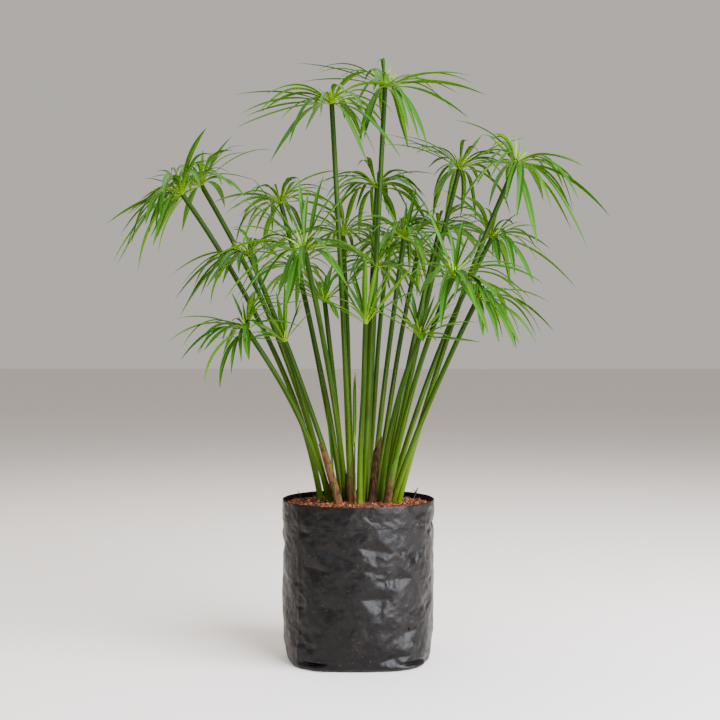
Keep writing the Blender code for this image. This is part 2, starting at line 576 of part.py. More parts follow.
class Whorl:
    """The hub on top of a culm, with two turns of places that bracts grow from."""

    def __init__(self, number):
        self.number = number
        _, _, _, form, reach = CULMS[number]
        self.places, self.low_lift, self.high_lift, self.least_droop, self.most_droop = FORMS[form]
        self.reach = reach * MM
        self.axis = curve_direction(*culm_path(number), 1.0)
        self.middle = culm_path(number)[2] + self.axis * GAP
        self.across, self.along = cross_frame(self.axis)
        self.chance = random.Random(int(number))
        self.bracts = {}
        self.bodies = []
        self.rings = []
        for level in range(3):
            radius = HUB_RADIUS * HUB_SWELL[level]
            centre = self.middle + self.axis * (HUB_TURN * level)
            turn = 0.5 if level == 2 else 0.0
            ring = []
            for k in range(self.places):
                angle = 2 * math.pi * (k + turn) / self.places
                ring.append(centre + self.outward(angle) * radius)
            self.rings.append(ring)
        self.bodies.append(self.hub_body())

    def hub_body(self):
        """The hub as it stands before any bract: flat under, sides in two turns, a low point on top."""
        count = self.places
        verts = [corner for ring in self.rings for corner in ring]
        verts.append(self.middle + self.axis * (2 * HUB_TURN + HUB_CAP))
        faces = [tuple(range(count))[::-1]]
        faces += [(2 * count + k, 2 * count + (k + 1) % count, 3 * count) for k in range(count)]
        for turn in (0, 1):
            faces += ring_quads(turn * count, (turn + 1) * count, count)
        return verts, faces

    def outward(self, angle):
        return self.across * math.cos(angle) + self.along * math.sin(angle)

    def facet(self, turn, place):
        after = (place + 1) % self.places
        low, high = self.rings[turn], self.rings[turn + 1]
        return low[place], low[after], high[after], high[place]

    def place_angle(self, turn, place):
        return 2 * math.pi * (place + 0.5 + 0.25 * turn) / self.places

    def make_bract(self, turn, place, bend, tip, width):
        root = sum(self.facet(turn, place), Vector()) / 4
        level = Vector((tip.x - root.x, tip.y - root.y, 0))
        outward = self.outward(self.place_angle(turn, place))
        if level.length < STEEP_REACH:
            level = Vector((outward.x, outward.y, 0))
        side = UP.cross(level).normalized()
        if side.dot(self.axis.cross(outward)) < 0:
            side = -side
        return root, bend, tip, width, side

    def lead_bract(self, lead):
        """The free place nearest to a lead's direction, and the bract from there to the lead's tip."""
        x, y, z, rise, width = lead
        tip = self.middle + Vector((x, y, z)) * MM
        bend = self.middle + Vector((x / 2, y / 2, z / 2 + rise)) * MM
        start = (bend - self.middle).normalized()
        lift = math.asin(start.dot(self.axis))
        angle = math.atan2(start.dot(self.along), start.dot(self.across))
        best = None
        for turn in (0, 1):
            for place in range(self.places):
                if (turn, place) in self.bracts:
                    continue
                away = abs((self.place_angle(turn, place) - angle + math.pi) % (2 * math.pi) - math.pi)
                away += WRONG_TURN if (lift > math.radians(UPPER_LIFT)) != bool(turn) else 0.0
                if best is None or away < best[0]:
                    best = (away, turn, place)
        if best is None or best[0] > FURTHEST_PLACE:
            return None
        return best[1:], self.make_bract(best[1], best[2], bend, tip, width * BRACT_WIDTH)

    def rule_bract(self, turn, place, length, droop, width, sway, heave):
        """A bract that leaves its place at the form's lift and then droops under its own weight."""
        angle = self.place_angle(turn, place) + math.radians(sway)
        lift = math.radians((self.low_lift, self.high_lift)[turn] + heave)
        start = self.outward(angle) * math.cos(lift) + self.axis * math.sin(lift)
        level = Vector((start.x, start.y, 0))
        climb = math.atan2(start.z, level.length)
        fall = max(climb - math.radians(droop), math.radians(STEEPEST_FALL))
        level.normalize()
        later = level * math.cos(fall) + UP * math.sin(fall)
        root = sum(self.facet(turn, place), Vector()) / 4
        bend = root + start * (length * BEND_SHARE)
        tip = bend + later * (length * TIP_SHARE)
        return self.make_bract(turn, place, bend, tip, width)

    def grow_lead(self, lead, space):
        x, y, z, rise, width = lead
        for stretch in LEAD_STRETCHES:
            for up, back in LEAD_SHIFTS:
                moved = (x * stretch, y * stretch + back, z * stretch + up, rise, width)
                found = self.lead_bract(moved)
                if found and self.take_place(found[0], found[1], space):
                    return

    def grow_rest(self, space):
        for turn in (0, 1):
            for place in range(self.places):
                length = self.reach * self.chance.uniform(*LENGTH_RANGE) * (1.0, UPPER_LENGTH)[turn]
                droop = self.chance.uniform(self.least_droop, self.most_droop)
                width = BRACT_WIDTH * self.chance.uniform(*WIDTH_RANGE)
                heave = self.chance.uniform(-HEAVE, HEAVE)
                if (turn, place) not in self.bracts:
                    self.grow_where_free(turn, place, length, droop, width, heave, space)

    def grow_where_free(self, turn, place, length, droop, width, heave, space):
        for shorter in REST_STRETCHES:
            for sway in REST_SWAYS:
                for more in REST_HEAVES:
                    bract = self.rule_bract(turn, place, length * shorter, droop, width, sway, heave + more)
                    if self.take_place((turn, place), bract, space):
                        return

    def take_place(self, spot, bract, space):
        """Keep a bract at its place in the whorl if nothing is in its way."""
        facet = self.facet(*spot)
        probe = bract_probe(bract, facet)
        body = bract_body(bract, facet)
        free = space.is_free(probe) and not are_crossing(body, body)
        if free and not any(are_crossing(body, other) for other in self.bodies):
            self.bracts[spot] = body
            self.bodies.append(body)
            space.add(probe)
            return True
        return False

    def build(self):
        """One closed body: each side of the hub that bears a bract runs on into it."""
        verts, faces = self.hub_body()
        for (turn, place), (bract_verts, bract_faces) in self.bracts.items():
            low, after = turn * self.places, (place + 1) % self.places
            high = low + self.places
            facet = (low + place, low + after, high + after, high + place)
            faces.remove(facet)
            index = facet + tuple(range(len(verts), len(verts) + len(bract_verts) - 4))
            verts += bract_verts[4:]
            faces += [tuple(index[i] for i in face) for face in bract_faces]
        return add_object("whorl_" + self.number, "whorl", verts, faces, crease=50)


def grow_whorls():
    """All whorls, the bracts that stand out first, each bract only where nothing else is in its way."""
    space = Space()
    for number in CULMS:
        space.add(culm_mesh(number, extra=GAP))
    for name in SHOOTS:
        space.add(shoot_mesh(name))
    whorls = [Whorl(number) for number in CULMS]
    for whorl in whorls:
        for lead in LEADS.get(whorl.number, []):
            whorl.grow_lead(lead, space)
    for whorl in whorls:
        whorl.grow_rest(space)
    return [whorl.build() for whorl in whorls]


clear_scene()
build_bag()
build_mix(build_socket_cutter())
for culm_number in CULMS:
    add_object("culm_" + culm_number, "culm", *culm_mesh(culm_number))
for sheath_number in SHEATHS:
    build_sheath(sheath_number)
for shoot_name in SHOOTS:
    add_object("shoot_" + shoot_name, "shoot", *shoot_mesh(shoot_name))
grow_whorls()
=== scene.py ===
"""Looks of a young umbrella sedge growing in a black film grow bag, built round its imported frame.

Metres, +Z up. The origin is the middle of the bag's flat foot, and the plant's front faces -Y.
"""
import math
import random

import bmesh
import bpy
import numpy as np
from mathutils import Matrix, Quaternion, Vector, noise


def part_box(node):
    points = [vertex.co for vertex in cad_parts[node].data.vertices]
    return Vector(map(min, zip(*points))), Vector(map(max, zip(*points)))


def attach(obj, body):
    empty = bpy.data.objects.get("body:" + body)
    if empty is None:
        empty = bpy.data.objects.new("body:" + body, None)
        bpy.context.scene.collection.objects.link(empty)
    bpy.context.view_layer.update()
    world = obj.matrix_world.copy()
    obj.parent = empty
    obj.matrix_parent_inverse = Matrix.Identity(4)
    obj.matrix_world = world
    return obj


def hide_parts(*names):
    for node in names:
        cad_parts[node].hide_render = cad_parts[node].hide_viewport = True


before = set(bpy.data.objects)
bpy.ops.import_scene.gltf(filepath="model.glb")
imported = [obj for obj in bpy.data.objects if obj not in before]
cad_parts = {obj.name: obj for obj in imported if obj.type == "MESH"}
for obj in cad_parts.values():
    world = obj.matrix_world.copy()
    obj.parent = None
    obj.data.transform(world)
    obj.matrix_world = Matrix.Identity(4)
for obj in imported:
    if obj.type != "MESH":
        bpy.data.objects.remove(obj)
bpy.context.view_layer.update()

scene = bpy.context.scene

# The grow bag: a tube of black polythene film, blown, cut and heat-sealed, its foot tucked flat under
# the mix and its mouth folded over outside as a cuff. The film is thin and stiff enough to keep every
# place where it buckled: flat diamonds pushed in against the mix, each with a crease along its middle.
MM = 0.001
UP = Vector((0, 0, 1))
BAG_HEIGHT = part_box("grow_bag")[1].z
BAG_RADIUS = 0.0806
# The foot: its radius, how oval and how square it is tucked, how high that shows, and its rounded edge
FOOT_RADIUS = 0.0775
FOOT_OVAL = 0.0015
FOOT_SQUARE = 0.0045
ROUND_FROM = 0.030
TUCKED_TO = 0.060
SOLE_EDGE = 0.004
SOLE_INSET = 0.0025
# The cuff's lower edge, how far it stands out and how much it wavers up and down
CUFF_HEIGHT = 0.1457
CUFF_STEP = 0.0010
CUFF_WAVE = 0.9 * MM
# From the lip down inside: inset from the lip and depth under it (mm), then height and radius (m)
OVER_RIM = [(0.12, 0.0), (0.38, 0.0), (0.5, 0.2), (0.5, 1.5), (0.55, 4.0), (0.6, 8.0), (0.6, 14.0)]
INSIDE = [(0.150, 0.0790), (0.144, 0.0755), (0.030, 0.0755), (0.008, 0.0700), (0.0022, 0.0680)]
# The sole from its middle out: height and radius
SOLE = [(0.0, 0.062), (0.0003, 0.070)]
# Points round the film, and the height of a row of them
AROUND = 420
ROW = 1.05 * MM
# Dents in front: angle from the front to the right (degrees), height, half width, reach above and below
# the crease (mm), slope of the crease, share of the full depth
FRONT_DENTS = [
    (13, 124, 20, 14, 13, -0.19, 1.15), (31, 94, 19, 12, 13, 0.0, 1.3), (15, 75, 18.5, 12, 14, 0.0, 1.3),
    (37, 38.5, 17, 10, 16, 0.20, 1.3), (21, 44, 10, 8, 8, 0.0, 1.2), (28, 13.5, 20, 10, 8, 0.17, 1.3),
    (8, 25, 15, 9, 9, -0.05, 1.0), (4, 59, 12, 9, 9, -0.1, 1.0), (-1, 143, 15, 8, 12, 0.0, 0.9),
    (33, 142, 11, 6, 11, 0.1, 1.2), (24, 157, 10, 5, 9, -0.12, 0.9), (47, 120, 18, 10, 14, 0.18, 1.1),
    (48, 61, 16, 8, 14, 0.15, 1.1), (-18, 119, 22, 13, 14, -0.27, 1.0), (-33, 104, 15, 10, 12, -0.1, 1.0),
    (-21, 65, 16, 10, 9, 0.0, 0.8), (-10, 47, 15, 9, 11, 0.05, 0.7), (-27, 13, 15, 10, 6, 0.0, 1.0),
    (-35, 38, 15, 10, 10, 0.1, 0.7), (-8, 90, 15, 11, 11, 0.15, 0.7), (47, 20, 13, 8, 9, 0.15, 0.9),
    (26, 113, 9, 6, 8, 0.25, 1.0), (15, 160, 5, 2.5, 3, -0.4, 4.0),
]
# How deep a dent is for its width, how much further and softer it runs out below, how often it is eased
DENT_DEPTH = 1.3
LOWER_REACH = 1.5
LOWER_EASE = 1.5
DENT_EASE = 4
# Dents round the sides and the back stand in rows, and small ones are strewn all round
SIDE_ROWS = 7
SIDE_COLUMNS = 8
SIDE_ROW_STEP = 23
SIDE_COLUMN_STEP = 28
SMALL_DENTS = 120
# Unevenness of the handled film (mm): soft swells, and ridges in two sizes
SWELL = 1.3
BROAD_RIDGE = 0.75
FINE_RIDGE = 0.20
# Where the tube lay creased flat on its roll, on two sides: angle from the front, height and width (mm)
FLAT_CREASE = math.radians(131)
CREASE_RISE = 0.6
CREASE_WIDTH = 2.6
# Tucks at the foot, where the folded corner stands out as a lip: angle, half width (degrees), depth (mm)
TUCKS = [(-34, 15, 3.4), (45, 15, 3.0), (142, 14, 3.2), (-137, 13, 2.8)]
LIP_RISE = 1.3
# Drain holes, punched through the flat tube and pulled long: angle from the front (degrees), height (mm)
HOLES = [(-67, 36), (-47, 37), (41, 41), (65, 37), (74, 47), (61, 14),
         (113, 36), (133, 37), (-139, 41), (-115, 37), (-106, 47), (-119, 14)]
HOLE_RADIUS = 0.0011
HOLE_DEPTH = 0.0030
HOLE_STRETCH = 2.3
HOLE_TURN = 0.35
PUNCH_LENGTH = 0.010


def shade(code):
    """A linear colour from an sRGB hex value."""
    parts = [int(code[i:i + 2], 16) / 255 for i in (1, 3, 5)]
    return [c / 12.92 if c <= 0.04045 else ((c + 0.055) / 1.055) ** 2.4 for c in parts] + [1.0]


def add_node(tree, kind, inputs=(), **settings):
    """A node with its settings, and its inputs given values or links, by name or in their order."""
    made = tree.nodes.new(kind)
    for name, value in settings.items():
        setattr(made, name, value)
    for name, value in (inputs.items() if isinstance(inputs, dict) else enumerate(inputs)):
        if isinstance(value, bpy.types.NodeSocket):
            tree.links.new(value, made.inputs[name])
        else:
            made.inputs[name].default_value = value
    return made


def start_material(name, roughness, ior, shine=0.5):
    """A material with its node tree, its shader and its places on the object."""
    made = bpy.data.materials.new(name)
    made.use_nodes = True
    shader = made.node_tree.nodes["Principled BSDF"]
    for label, value in (("Roughness", roughness), ("IOR", ior), ("Specular IOR Level", shine)):
        shader.inputs[label].default_value = value
    return made, made.node_tree, shader, add_node(made.node_tree, "ShaderNodeTexCoord").outputs["Object"]


def add_object(name, data):
    """A new object in the scene."""
    made = bpy.data.objects.new(name, data)
    scene.collection.objects.link(made)
    return made


def place_piece(name, mesh, slot, *nodes, sharp=40):
    """A finished mesh as a piece of the object, shaded smooth but for its sharp edges."""
    mesh.shade_smooth()
    mesh.set_sharp_from_angle(angle=math.radians(sharp))
    made = add_object(name, mesh)
    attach(made, "root")
    if nodes:
        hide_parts(*nodes)
    return made


def plain_mesh(name, verts, faces, edges=()):
    """A mesh from its points and the faces or edges between them."""
    mesh = bpy.data.meshes.new(name)
    mesh.from_pydata(verts, edges, faces)
    return mesh


def ring_faces(rings, sides, start=0, closed=False):
    """The four-sided faces between each ring of points and the next, and if closed back to the first."""
    faces = []
    for ring in range(rings if closed else rings - 1):
        low, high = start + ring * sides, start + (ring + 1) % rings * sides
        faces += [(low + k, low + (k + 1) % sides, high + (k + 1) % sides, high + k) for k in range(sides)]
    return faces


def shell_mesh(name, rings, first, last):
    """A closed mesh from rings of equally many points, with a middle point at each end."""
    count = len(rings[0])
    verts = [tuple(first)] + [tuple(point) for ring in rings for point in ring] + [tuple(last)]
    low = len(verts) - 1 - count
    faces = [(0, 1 + (k + 1) % count, 1 + k) for k in range(count)] + ring_faces(len(rings), count, 1)
    faces += [(low + k, low + (k + 1) % count, len(verts) - 1) for k in range(count)]
    return plain_mesh(name, verts, faces)


def hidden_side_dents(chance):
    """The same kind of dents round the sides and the back, in staggered rows."""
    dents = []
    for row in range(SIDE_ROWS):
        for column in range(SIDE_COLUMNS):
            angle = 70 + (column + 0.5 * (row % 2)) * SIDE_COLUMN_STEP + chance.uniform(-11, 11)
            level = 13 + row * SIDE_ROW_STEP + chance.uniform(-9, 9)
            dents.append((angle, level, chance.uniform(11, 22), chance.uniform(7, 13), chance.uniform(7, 14),
                          chance.uniform(-0.28, 0.28), chance.uniform(0.3, 1.1)))
    return dents


def small_dents(chance):
    """Small shallow dents all round, between the large ones."""
    spans = ((-180, 180), (12, 160), (5, 9.5), (3, 6), (4, 7), (-0.35, 0.35), (1.4, 2.6))
    return [tuple(chance.uniform(*span) for span in spans) for _ in range(SMALL_DENTS)]


def dent_depth(angle, height, dents):
    """How deep the film is buckled inward at each place of a grid: the deepest of the dents there."""
    depth = np.zeros_like(angle)
    for centre, level, half_width, above, below, slope, share in dents:
        turn = (angle - math.radians(centre) + math.pi) % (2 * math.pi) - math.pi
        across = turn * BAG_RADIUS / (half_width * MM)
        along = height - level * MM - slope * turn * BAG_RADIUS
        reach = np.where(along > 0, above * MM, below * LOWER_REACH * MM)
        full = DENT_DEPTH * share * (half_width * MM) ** 2 / (2 * BAG_RADIUS)
        taper = np.clip(1 - np.abs(across), 1e-6, 1)
        fall = np.clip(1 - np.abs(along) / (reach * taper), 0, 1) ** np.where(along > 0, 1.0, LOWER_EASE)
        depth = np.maximum(depth, full * (1 - across ** 2) * fall)
    return depth


def softened(grid, passes):
    """A grid whose sharp creases are eased a little, as film rounds them."""
    for _ in range(passes):
        around = (np.roll(grid, 1, axis=1) + np.roll(grid, -1, axis=1)) / 2
        up_down = (np.vstack([grid[:1], grid[:-1]]) + np.vstack([grid[1:], grid[-1:]])) / 2
        grid = grid * 0.5 + around * 0.25 + up_down * 0.25
    return grid


def film_radii(angle, height, dents):
    """Outer radius of the film at each place of a grid of angles and heights."""
    rise = np.minimum(1.0, height / ROUND_FROM)
    fade = np.clip(1 - height / TUCKED_TO, 0, 1) ** 2
    turned = 2 * (angle - math.pi / 2)
    tucked = FOOT_OVAL * np.cos(turned) - FOOT_SQUARE * np.cos(2 * turned)
    radius = FOOT_RADIUS + (BAG_RADIUS - FOOT_RADIUS) * rise * (2 - rise) + tucked * fade
    radius -= softened(dent_depth(angle, height, dents), DENT_EASE)
    for centre, half_width, deep in TUCKS:
        turn = (np.degrees(angle) - centre + 180) % 360 - 180
        window = np.clip(1 - (turn / half_width) ** 2, 0, 1)
        radius -= window * deep * MM * np.exp(-((height - 7.0 * MM) / (1.5 * MM)) ** 2)
        radius += window * LIP_RISE * MM * np.exp(-((height - 3.2 * MM) / (1.9 * MM)) ** 2)
    for crease in (FLAT_CREASE, FLAT_CREASE - math.pi):
        turn = (angle - crease + math.pi) % (2 * math.pi) - math.pi
        ridge = CREASE_RISE * MM * np.exp(-(turn * BAG_RADIUS / (CREASE_WIDTH * MM)) ** 2)
        radius += ridge * (0.6 + 0.4 * np.sin(height * 140 + crease))
    return radius - SOLE_INSET * np.clip(1 - height / SOLE_EDGE, 0, 1) ** 1.6


def crumple(radius, angle, height):
    """The film's radii, uneven from handling: swells some 20 mm apart, ridges 9 mm and 4 mm apart."""
    moved = radius.copy()
    for row in range(radius.shape[0]):
        for column in range(radius.shape[1]):
            turn, level = angle[row, column], height[row, column]
            spot = Vector((math.sin(turn) * BAG_RADIUS, math.cos(turn) * BAG_RADIUS, level))
            swell = noise.noise(spot * 50 + UP * 9)
            broad = 1 - abs(noise.noise(spot * 110))
            fine = 1 - abs(noise.noise(spot * 260 + UP))
            moved[row, column] += (swell * SWELL * MM + (broad - 0.8) * BROAD_RIDGE * MM
                                   + (fine - 0.8) * FINE_RIDGE * MM)
    return moved


def build_film():
    """Rings of the film from its foot, up outside, over the rim and down inside, and its outer wall."""
    dents = FRONT_DENTS + hidden_side_dents(random.Random(4)) + small_dents(random.Random(12))
    turns = np.arange(AROUND) * 2 * math.pi / AROUND
    foot_levels = np.array([0.8, 1.3, 1.9, 2.6, 3.4, 4.2, 5.1]) * MM
    wall_levels = np.arange(6.1 * MM, CUFF_HEIGHT - ROW / 2, ROW)
    cuff_levels = np.arange(CUFF_HEIGHT + 0.9 * MM, BAG_HEIGHT - 0.5 * MM, ROW)
    below = np.concatenate([foot_levels, wall_levels, [CUFF_HEIGHT]])
    above = np.concatenate([[CUFF_HEIGHT - 0.25 * MM, CUFF_HEIGHT], cuff_levels, [BAG_HEIGHT - 0.2 * MM]])
    levels = np.concatenate([below, above])
    angle, height = np.meshgrid(turns, levels)
    radius = crumple(film_radii(angle, height, dents), angle, height)
    step = np.array([CUFF_STEP * (0.7 + 0.6 * noise.noise(Vector((math.sin(t) * 3, math.cos(t) * 3, 7))))
                     for t in turns])
    rows = np.arange(len(levels))[:, None]
    first_cuff_row = len(below)
    radius += np.where(rows > first_cuff_row, step, np.where(rows == first_cuff_row, step * 0.6, 0.0))
    wave = np.array([CUFF_WAVE * noise.noise(Vector((math.sin(t) * 2.2, math.cos(t) * 2.2, 3)))
                     for t in turns])
    height = height + wave * np.exp(-((height - CUFF_HEIGHT) / (4 * MM)) ** 2)
    rings = grid_points(radius, angle, height)
    lip = radius[-1]
    rings += [ring_of(lip - inset * MM, turns, BAG_HEIGHT - level * MM) for inset, level in OVER_RIM]
    rings += [ring_of(np.full(AROUND, inner), turns, level) for level, inner in INSIDE]
    sole = [ring_of(np.full(AROUND, out), turns, level) for level, out in SOLE]
    outer = [ring for ring, level in zip(rings, levels) if 6 * MM < level < BAG_HEIGHT - 4 * MM]
    return sole + rings, outer


def ring_of(radius, turns, level):
    """A level ring of points, with a radius for each turn from the front."""
    return np.stack([radius * np.sin(turns), -radius * np.cos(turns), np.full(len(turns), level)], axis=1)


def grid_points(radius, angle, height):
    """A ring of points for each row of a grid."""
    return list(np.stack([radius * np.sin(angle), -radius * np.cos(angle), height], axis=2))


def hole_cutter(dark):
    """Short round punches, stretched as the holes are and turned to their places on the bag."""
    cut = bmesh.new()
    shape = Matrix.Rotation(HOLE_TURN, 4, "Z") @ Matrix.Diagonal((1, HOLE_STRETCH, 1, 1))
    for angle, level in HOLES:
        turn = math.radians(angle)
        out = Vector((math.sin(turn), -math.cos(turn), 0))
        place = Matrix.Translation(out * (BAG_RADIUS - HOLE_DEPTH + PUNCH_LENGTH / 2) + UP * level * MM)
        place = place @ out.to_track_quat("Z", "Y").to_matrix().to_4x4()
        bmesh.ops.create_cone(cut, cap_ends=True, segments=18, radius1=HOLE_RADIUS, radius2=HOLE_RADIUS,
                              depth=PUNCH_LENGTH, matrix=place @ shape)
    mesh = bpy.data.meshes.new("punches")
    cut.to_mesh(mesh)
    cut.free()
    mesh.materials.append(dark)
    return add_object("punches", mesh)


def film_material():
    """Blown film: near black and half glossy, finely crinkled from handling, with a haze of dried dust."""
    made, tree, shader, place = start_material("black_ldpe_film_blown", 0.36, 1.51, 0.17)
    broad = add_node(tree, "ShaderNodeTexNoise",
                     {"Vector": place, "Scale": 1 / 0.035, "Detail": 3.0}).outputs[0]
    grime = add_node(tree, "ShaderNodeTexNoise", {"Vector": place, "Scale": 1 / 0.007, "Detail": 4.0,
                                                  "Roughness": 0.6, "Distortion": 0.6}).outputs[0]
    specks = add_node(tree, "ShaderNodeTexVoronoi", {"Vector": place, "Scale": 1 / 0.0045}).outputs
    near = add_node(tree, "ShaderNodeMapRange", [specks["Distance"], 0.05, 0.10, 0.9, 0.0]).outputs[0]
    some = add_node(tree, "ShaderNodeSeparateColor", [specks["Color"]]).outputs[0]
    chosen = add_node(tree, "ShaderNodeMapRange", [some, 0.66, 0.74]).outputs[0]
    dusty = add_node(tree, "ShaderNodeMapRange", [grime, 0.45, 0.85, 0.0, 0.28]).outputs[0]
    speck = add_node(tree, "ShaderNodeMath", [near, chosen], operation="MULTIPLY").outputs[0]
    colour = shade("#040404")
    for share, tint in ((broad, "#090909"), (dusty, "#33261a"), (speck, "#6a5440")):
        colour = add_node(tree, "ShaderNodeMix", {0: share, 6: colour, 7: shade(tint)},
                          data_type="RGBA").outputs[2]
    tree.links.new(colour, shader.inputs["Base Color"])
    gloss = add_node(tree, "ShaderNodeMapRange", [grime, 0.3, 0.7, 0.30, 0.42]).outputs[0]
    tree.links.new(gloss, shader.inputs["Roughness"])
    # Soft folds 16 mm apart, under the wrinkles
    folds = add_node(tree, "ShaderNodeTexNoise", {"Vector": place, "Scale": 1 / 0.016, "Detail": 3.0,
                                                  "Roughness": 0.6, "Distortion": 0.9},
                     noise_type="RIDGED_MULTIFRACTAL").outputs[0]
    normal = add_node(tree, "ShaderNodeBump",
                      {"Strength": 0.60, "Distance": 0.0012, "Height": folds}).outputs[0]
    # Short sharp wrinkles, 14 mm long and 3 mm apart, slanting both ways, gone where the film lies calm.
    # Real ones go down to half a millimetre, but ones finer than these flicker.
    wall = add_node(tree, "ShaderNodeAttribute", attribute_name="wall").outputs["Vector"]
    for slant, calm in ((0.6, 0.0), (-0.5, 5.0), (0.05, 9.0)):
        slanted = add_node(tree, "ShaderNodeMapping", {"Vector": wall, "Rotation": (0, 0, slant),
                                                       "Scale": (0.014, 0.0034, 1.0)},
                           vector_type="TEXTURE").outputs[0]
        lines = add_node(tree, "ShaderNodeTexNoise", {"Vector": slanted, "Scale": 1.0, "Detail": 1.5,
                                                      "Distortion": 1.3}).outputs[0]
        off_line = add_node(tree, "ShaderNodeMath", [lines, 0.5], operation="SUBTRACT").outputs[0]
        off_line = add_node(tree, "ShaderNodeMath", [off_line], operation="ABSOLUTE").outputs[0]
        ridge = add_node(tree, "ShaderNodeMapRange", [off_line, 0.0, 0.13, 1.0, 0.0],
                         interpolation_type="SMOOTHSTEP").outputs[0]
        moved = add_node(tree, "ShaderNodeVectorMath", [place, (calm, calm, calm)],
                         operation="ADD").outputs[0]
        parts = add_node(tree, "ShaderNodeTexNoise",
                         {"Vector": moved, "Scale": 1 / 0.018, "Detail": 2.0}).outputs[0]
        parts = add_node(tree, "ShaderNodeMapRange", [parts, 0.45, 0.6]).outputs[0]
        ridge = add_node(tree, "ShaderNodeMath", [ridge, parts], operation="MULTIPLY").outputs[0]
        normal = add_node(tree, "ShaderNodeBump", {"Strength": 0.09, "Distance": 0.0005, "Height": ridge,
                                                   "Normal": normal}).outputs[0]
    tree.links.new(normal, shader.inputs["Normal"])
    return made


def wall_places(mesh):
    """Give each point its place on the unrolled film, in metres, split where the flat tube was creased."""
    spots = []
    for vert in mesh.vertices:
        turn = math.atan2(vert.co.x, -vert.co.y)
        spots += [((turn - FLAT_CREASE) % (2 * math.pi)) * BAG_RADIUS, vert.co.z, 0.0]
    mesh.attributes.new("wall", "FLOAT_VECTOR", "POINT").data.foreach_set("vector", spots)


def pocket_material():
    """Coir seen through a drain hole: crumbly, painted almost black as the shade of the film over it."""
    made, tree, shader, place = start_material("coir_in_a_drain_hole", 0.95, 1.4)
    grain = add_node(tree, "ShaderNodeTexNoise",
                     {"Vector": place, "Scale": 1 / 0.0015, "Detail": 3.0}).outputs[0]
    # Coir brown darkened to near black: painted shade inside the hole
    colour = add_node(tree, "ShaderNodeMix", {0: grain, 6: shade("#070403"), 7: shade("#2a160c")},
                      data_type="RGBA").outputs[2]
    tree.links.new(colour, shader.inputs["Base Color"])
    return made


film = film_material()
pocket = pocket_material()
bag_rings, outer_wall = build_film()
bag_mesh = shell_mesh("grow_bag_film", bag_rings, (0, 0, 0), (0, 0, 0.0022))
bag_mesh.materials.append(film)
bag_seed = add_object("bag_seed", bag_mesh)
punches = hole_cutter(pocket)
punching = bag_seed.modifiers.new("drain_holes", "BOOLEAN")
punching.operation = "DIFFERENCE"
punching.solver = "EXACT"
punching.material_mode = "TRANSFER"
punching.object = punches
punched = bpy.data.meshes.new_from_object(bag_seed.evaluated_get(bpy.context.evaluated_depsgraph_get()))
bpy.data.objects.remove(bag_seed)
bpy.data.objects.remove(punches)
wall_places(punched)
place_piece("grow_bag_film", punched, "film", "grow_bag", sharp=60)

# The growing mix: coco peat and husk chips, pressed into the bag by hand to just under its rim and
# heaped a little at the stems. Dry on top, it is loose crumbs, flakes and short fibres, two to five
# millimetres long, lying every way over a dark, finer bed.
MIX_RADIUS = 0.0795
# Heights at the film, at the stems and under the bed, whose skin is only a few millimetres deep
MIX_EDGE = 0.1613
MIX_CROWN = 0.1655
MIX_FLOOR = 0.1525
# Lumps left by pressing, and smaller ones from watering
PRESSED_LUMP = 1.9 * MM
WASHED_LUMP = 1.3 * MM
BED_RINGS = 26
BED_SIDES = 96
# The skin that loose bits are strewn on: its rings, and how near it comes to the film
TOP_RINGS = 40
TOP_REACH = 0.985
# How close chips and crumbs lie, and the sizes of the chips
CHIP_SPACING = 2.1 * MM
CHIP_LEAST = 0.55
CHIP_MOST = 1.5
CRUMB_SPACING = 1.25 * MM


def mix_height(x, y):
    """Top of the mix: low at the film, heaped at the stems, uneven from pressing and watering."""
    out = min(1.0, math.hypot(x, y) / MIX_RADIUS)
    lump = noise.noise(Vector((x * 42, y * 42, 2))) * PRESSED_LUMP
    lump += noise.noise(Vector((x * 110, y * 110, 5))) * WASHED_LUMP
    return MIX_EDGE + (MIX_CROWN - MIX_EDGE) * (1 - out ** 2) + lump * (1 - 0.5 * out ** 4)


def flat_ring(radius):
    """The level places of a ring of the mix."""
    turns = [2 * math.pi * k / BED_SIDES for k in range(BED_SIDES)]
    return [(radius * math.sin(turn), -radius * math.cos(turn)) for turn in turns]


def bed_rings():
    """Rings of the bed, from under its edge, up against the film and in over its top."""
    rings = []
    for radius, level in ((MIX_RADIUS - 0.004, MIX_FLOOR), (MIX_RADIUS - 0.001, MIX_FLOOR + 0.003)):
        rings.append([(x, y, level) for x, y in flat_ring(radius)])
    for ring in range(BED_RINGS):
        places = flat_ring(MIX_RADIUS * (1 - ring / BED_RINGS))
        rings.append([(x, y, mix_height(x, y)) for x, y in places])
    return rings


def husk_bit(name, length, width, thickness, sides, rings, bend, seed):
    """One small piece of husk: a closed, uneven lump or strip with pointed ends."""
    chance = random.Random(seed)
    loops = []
    for ring in range(rings):
        share = (ring + 1) / (rings + 1)
        girth = math.sin(math.pi * share) ** 0.6
        middle = Vector(((share - 0.5) * length, bend * length * math.sin(math.pi * share), 0))
        loop = []
        for k in range(sides):
            turn = 2 * math.pi * k / sides
            shift = chance.uniform(-0.06, 0.06) * length
            across = math.cos(turn) * width / 2 * girth * chance.uniform(0.7, 1.2)
            lift = math.sin(turn) * thickness / 2 * girth * chance.uniform(0.7, 1.2)
            loop.append(middle + Vector((shift, across, lift)))
        loops.append(loop)
    mesh = shell_mesh(name, loops, (-length / 2, 0, 0), (length / 2, 0, 0))
    return bpy.data.objects.new(name, mesh)


def bit_collection(name, bits):
    """Bits that a scatter picks from, out of sight of the render."""
    made = bpy.data.collections.new(name)
    for bit in bits:
        made.objects.link(bit)
    return made


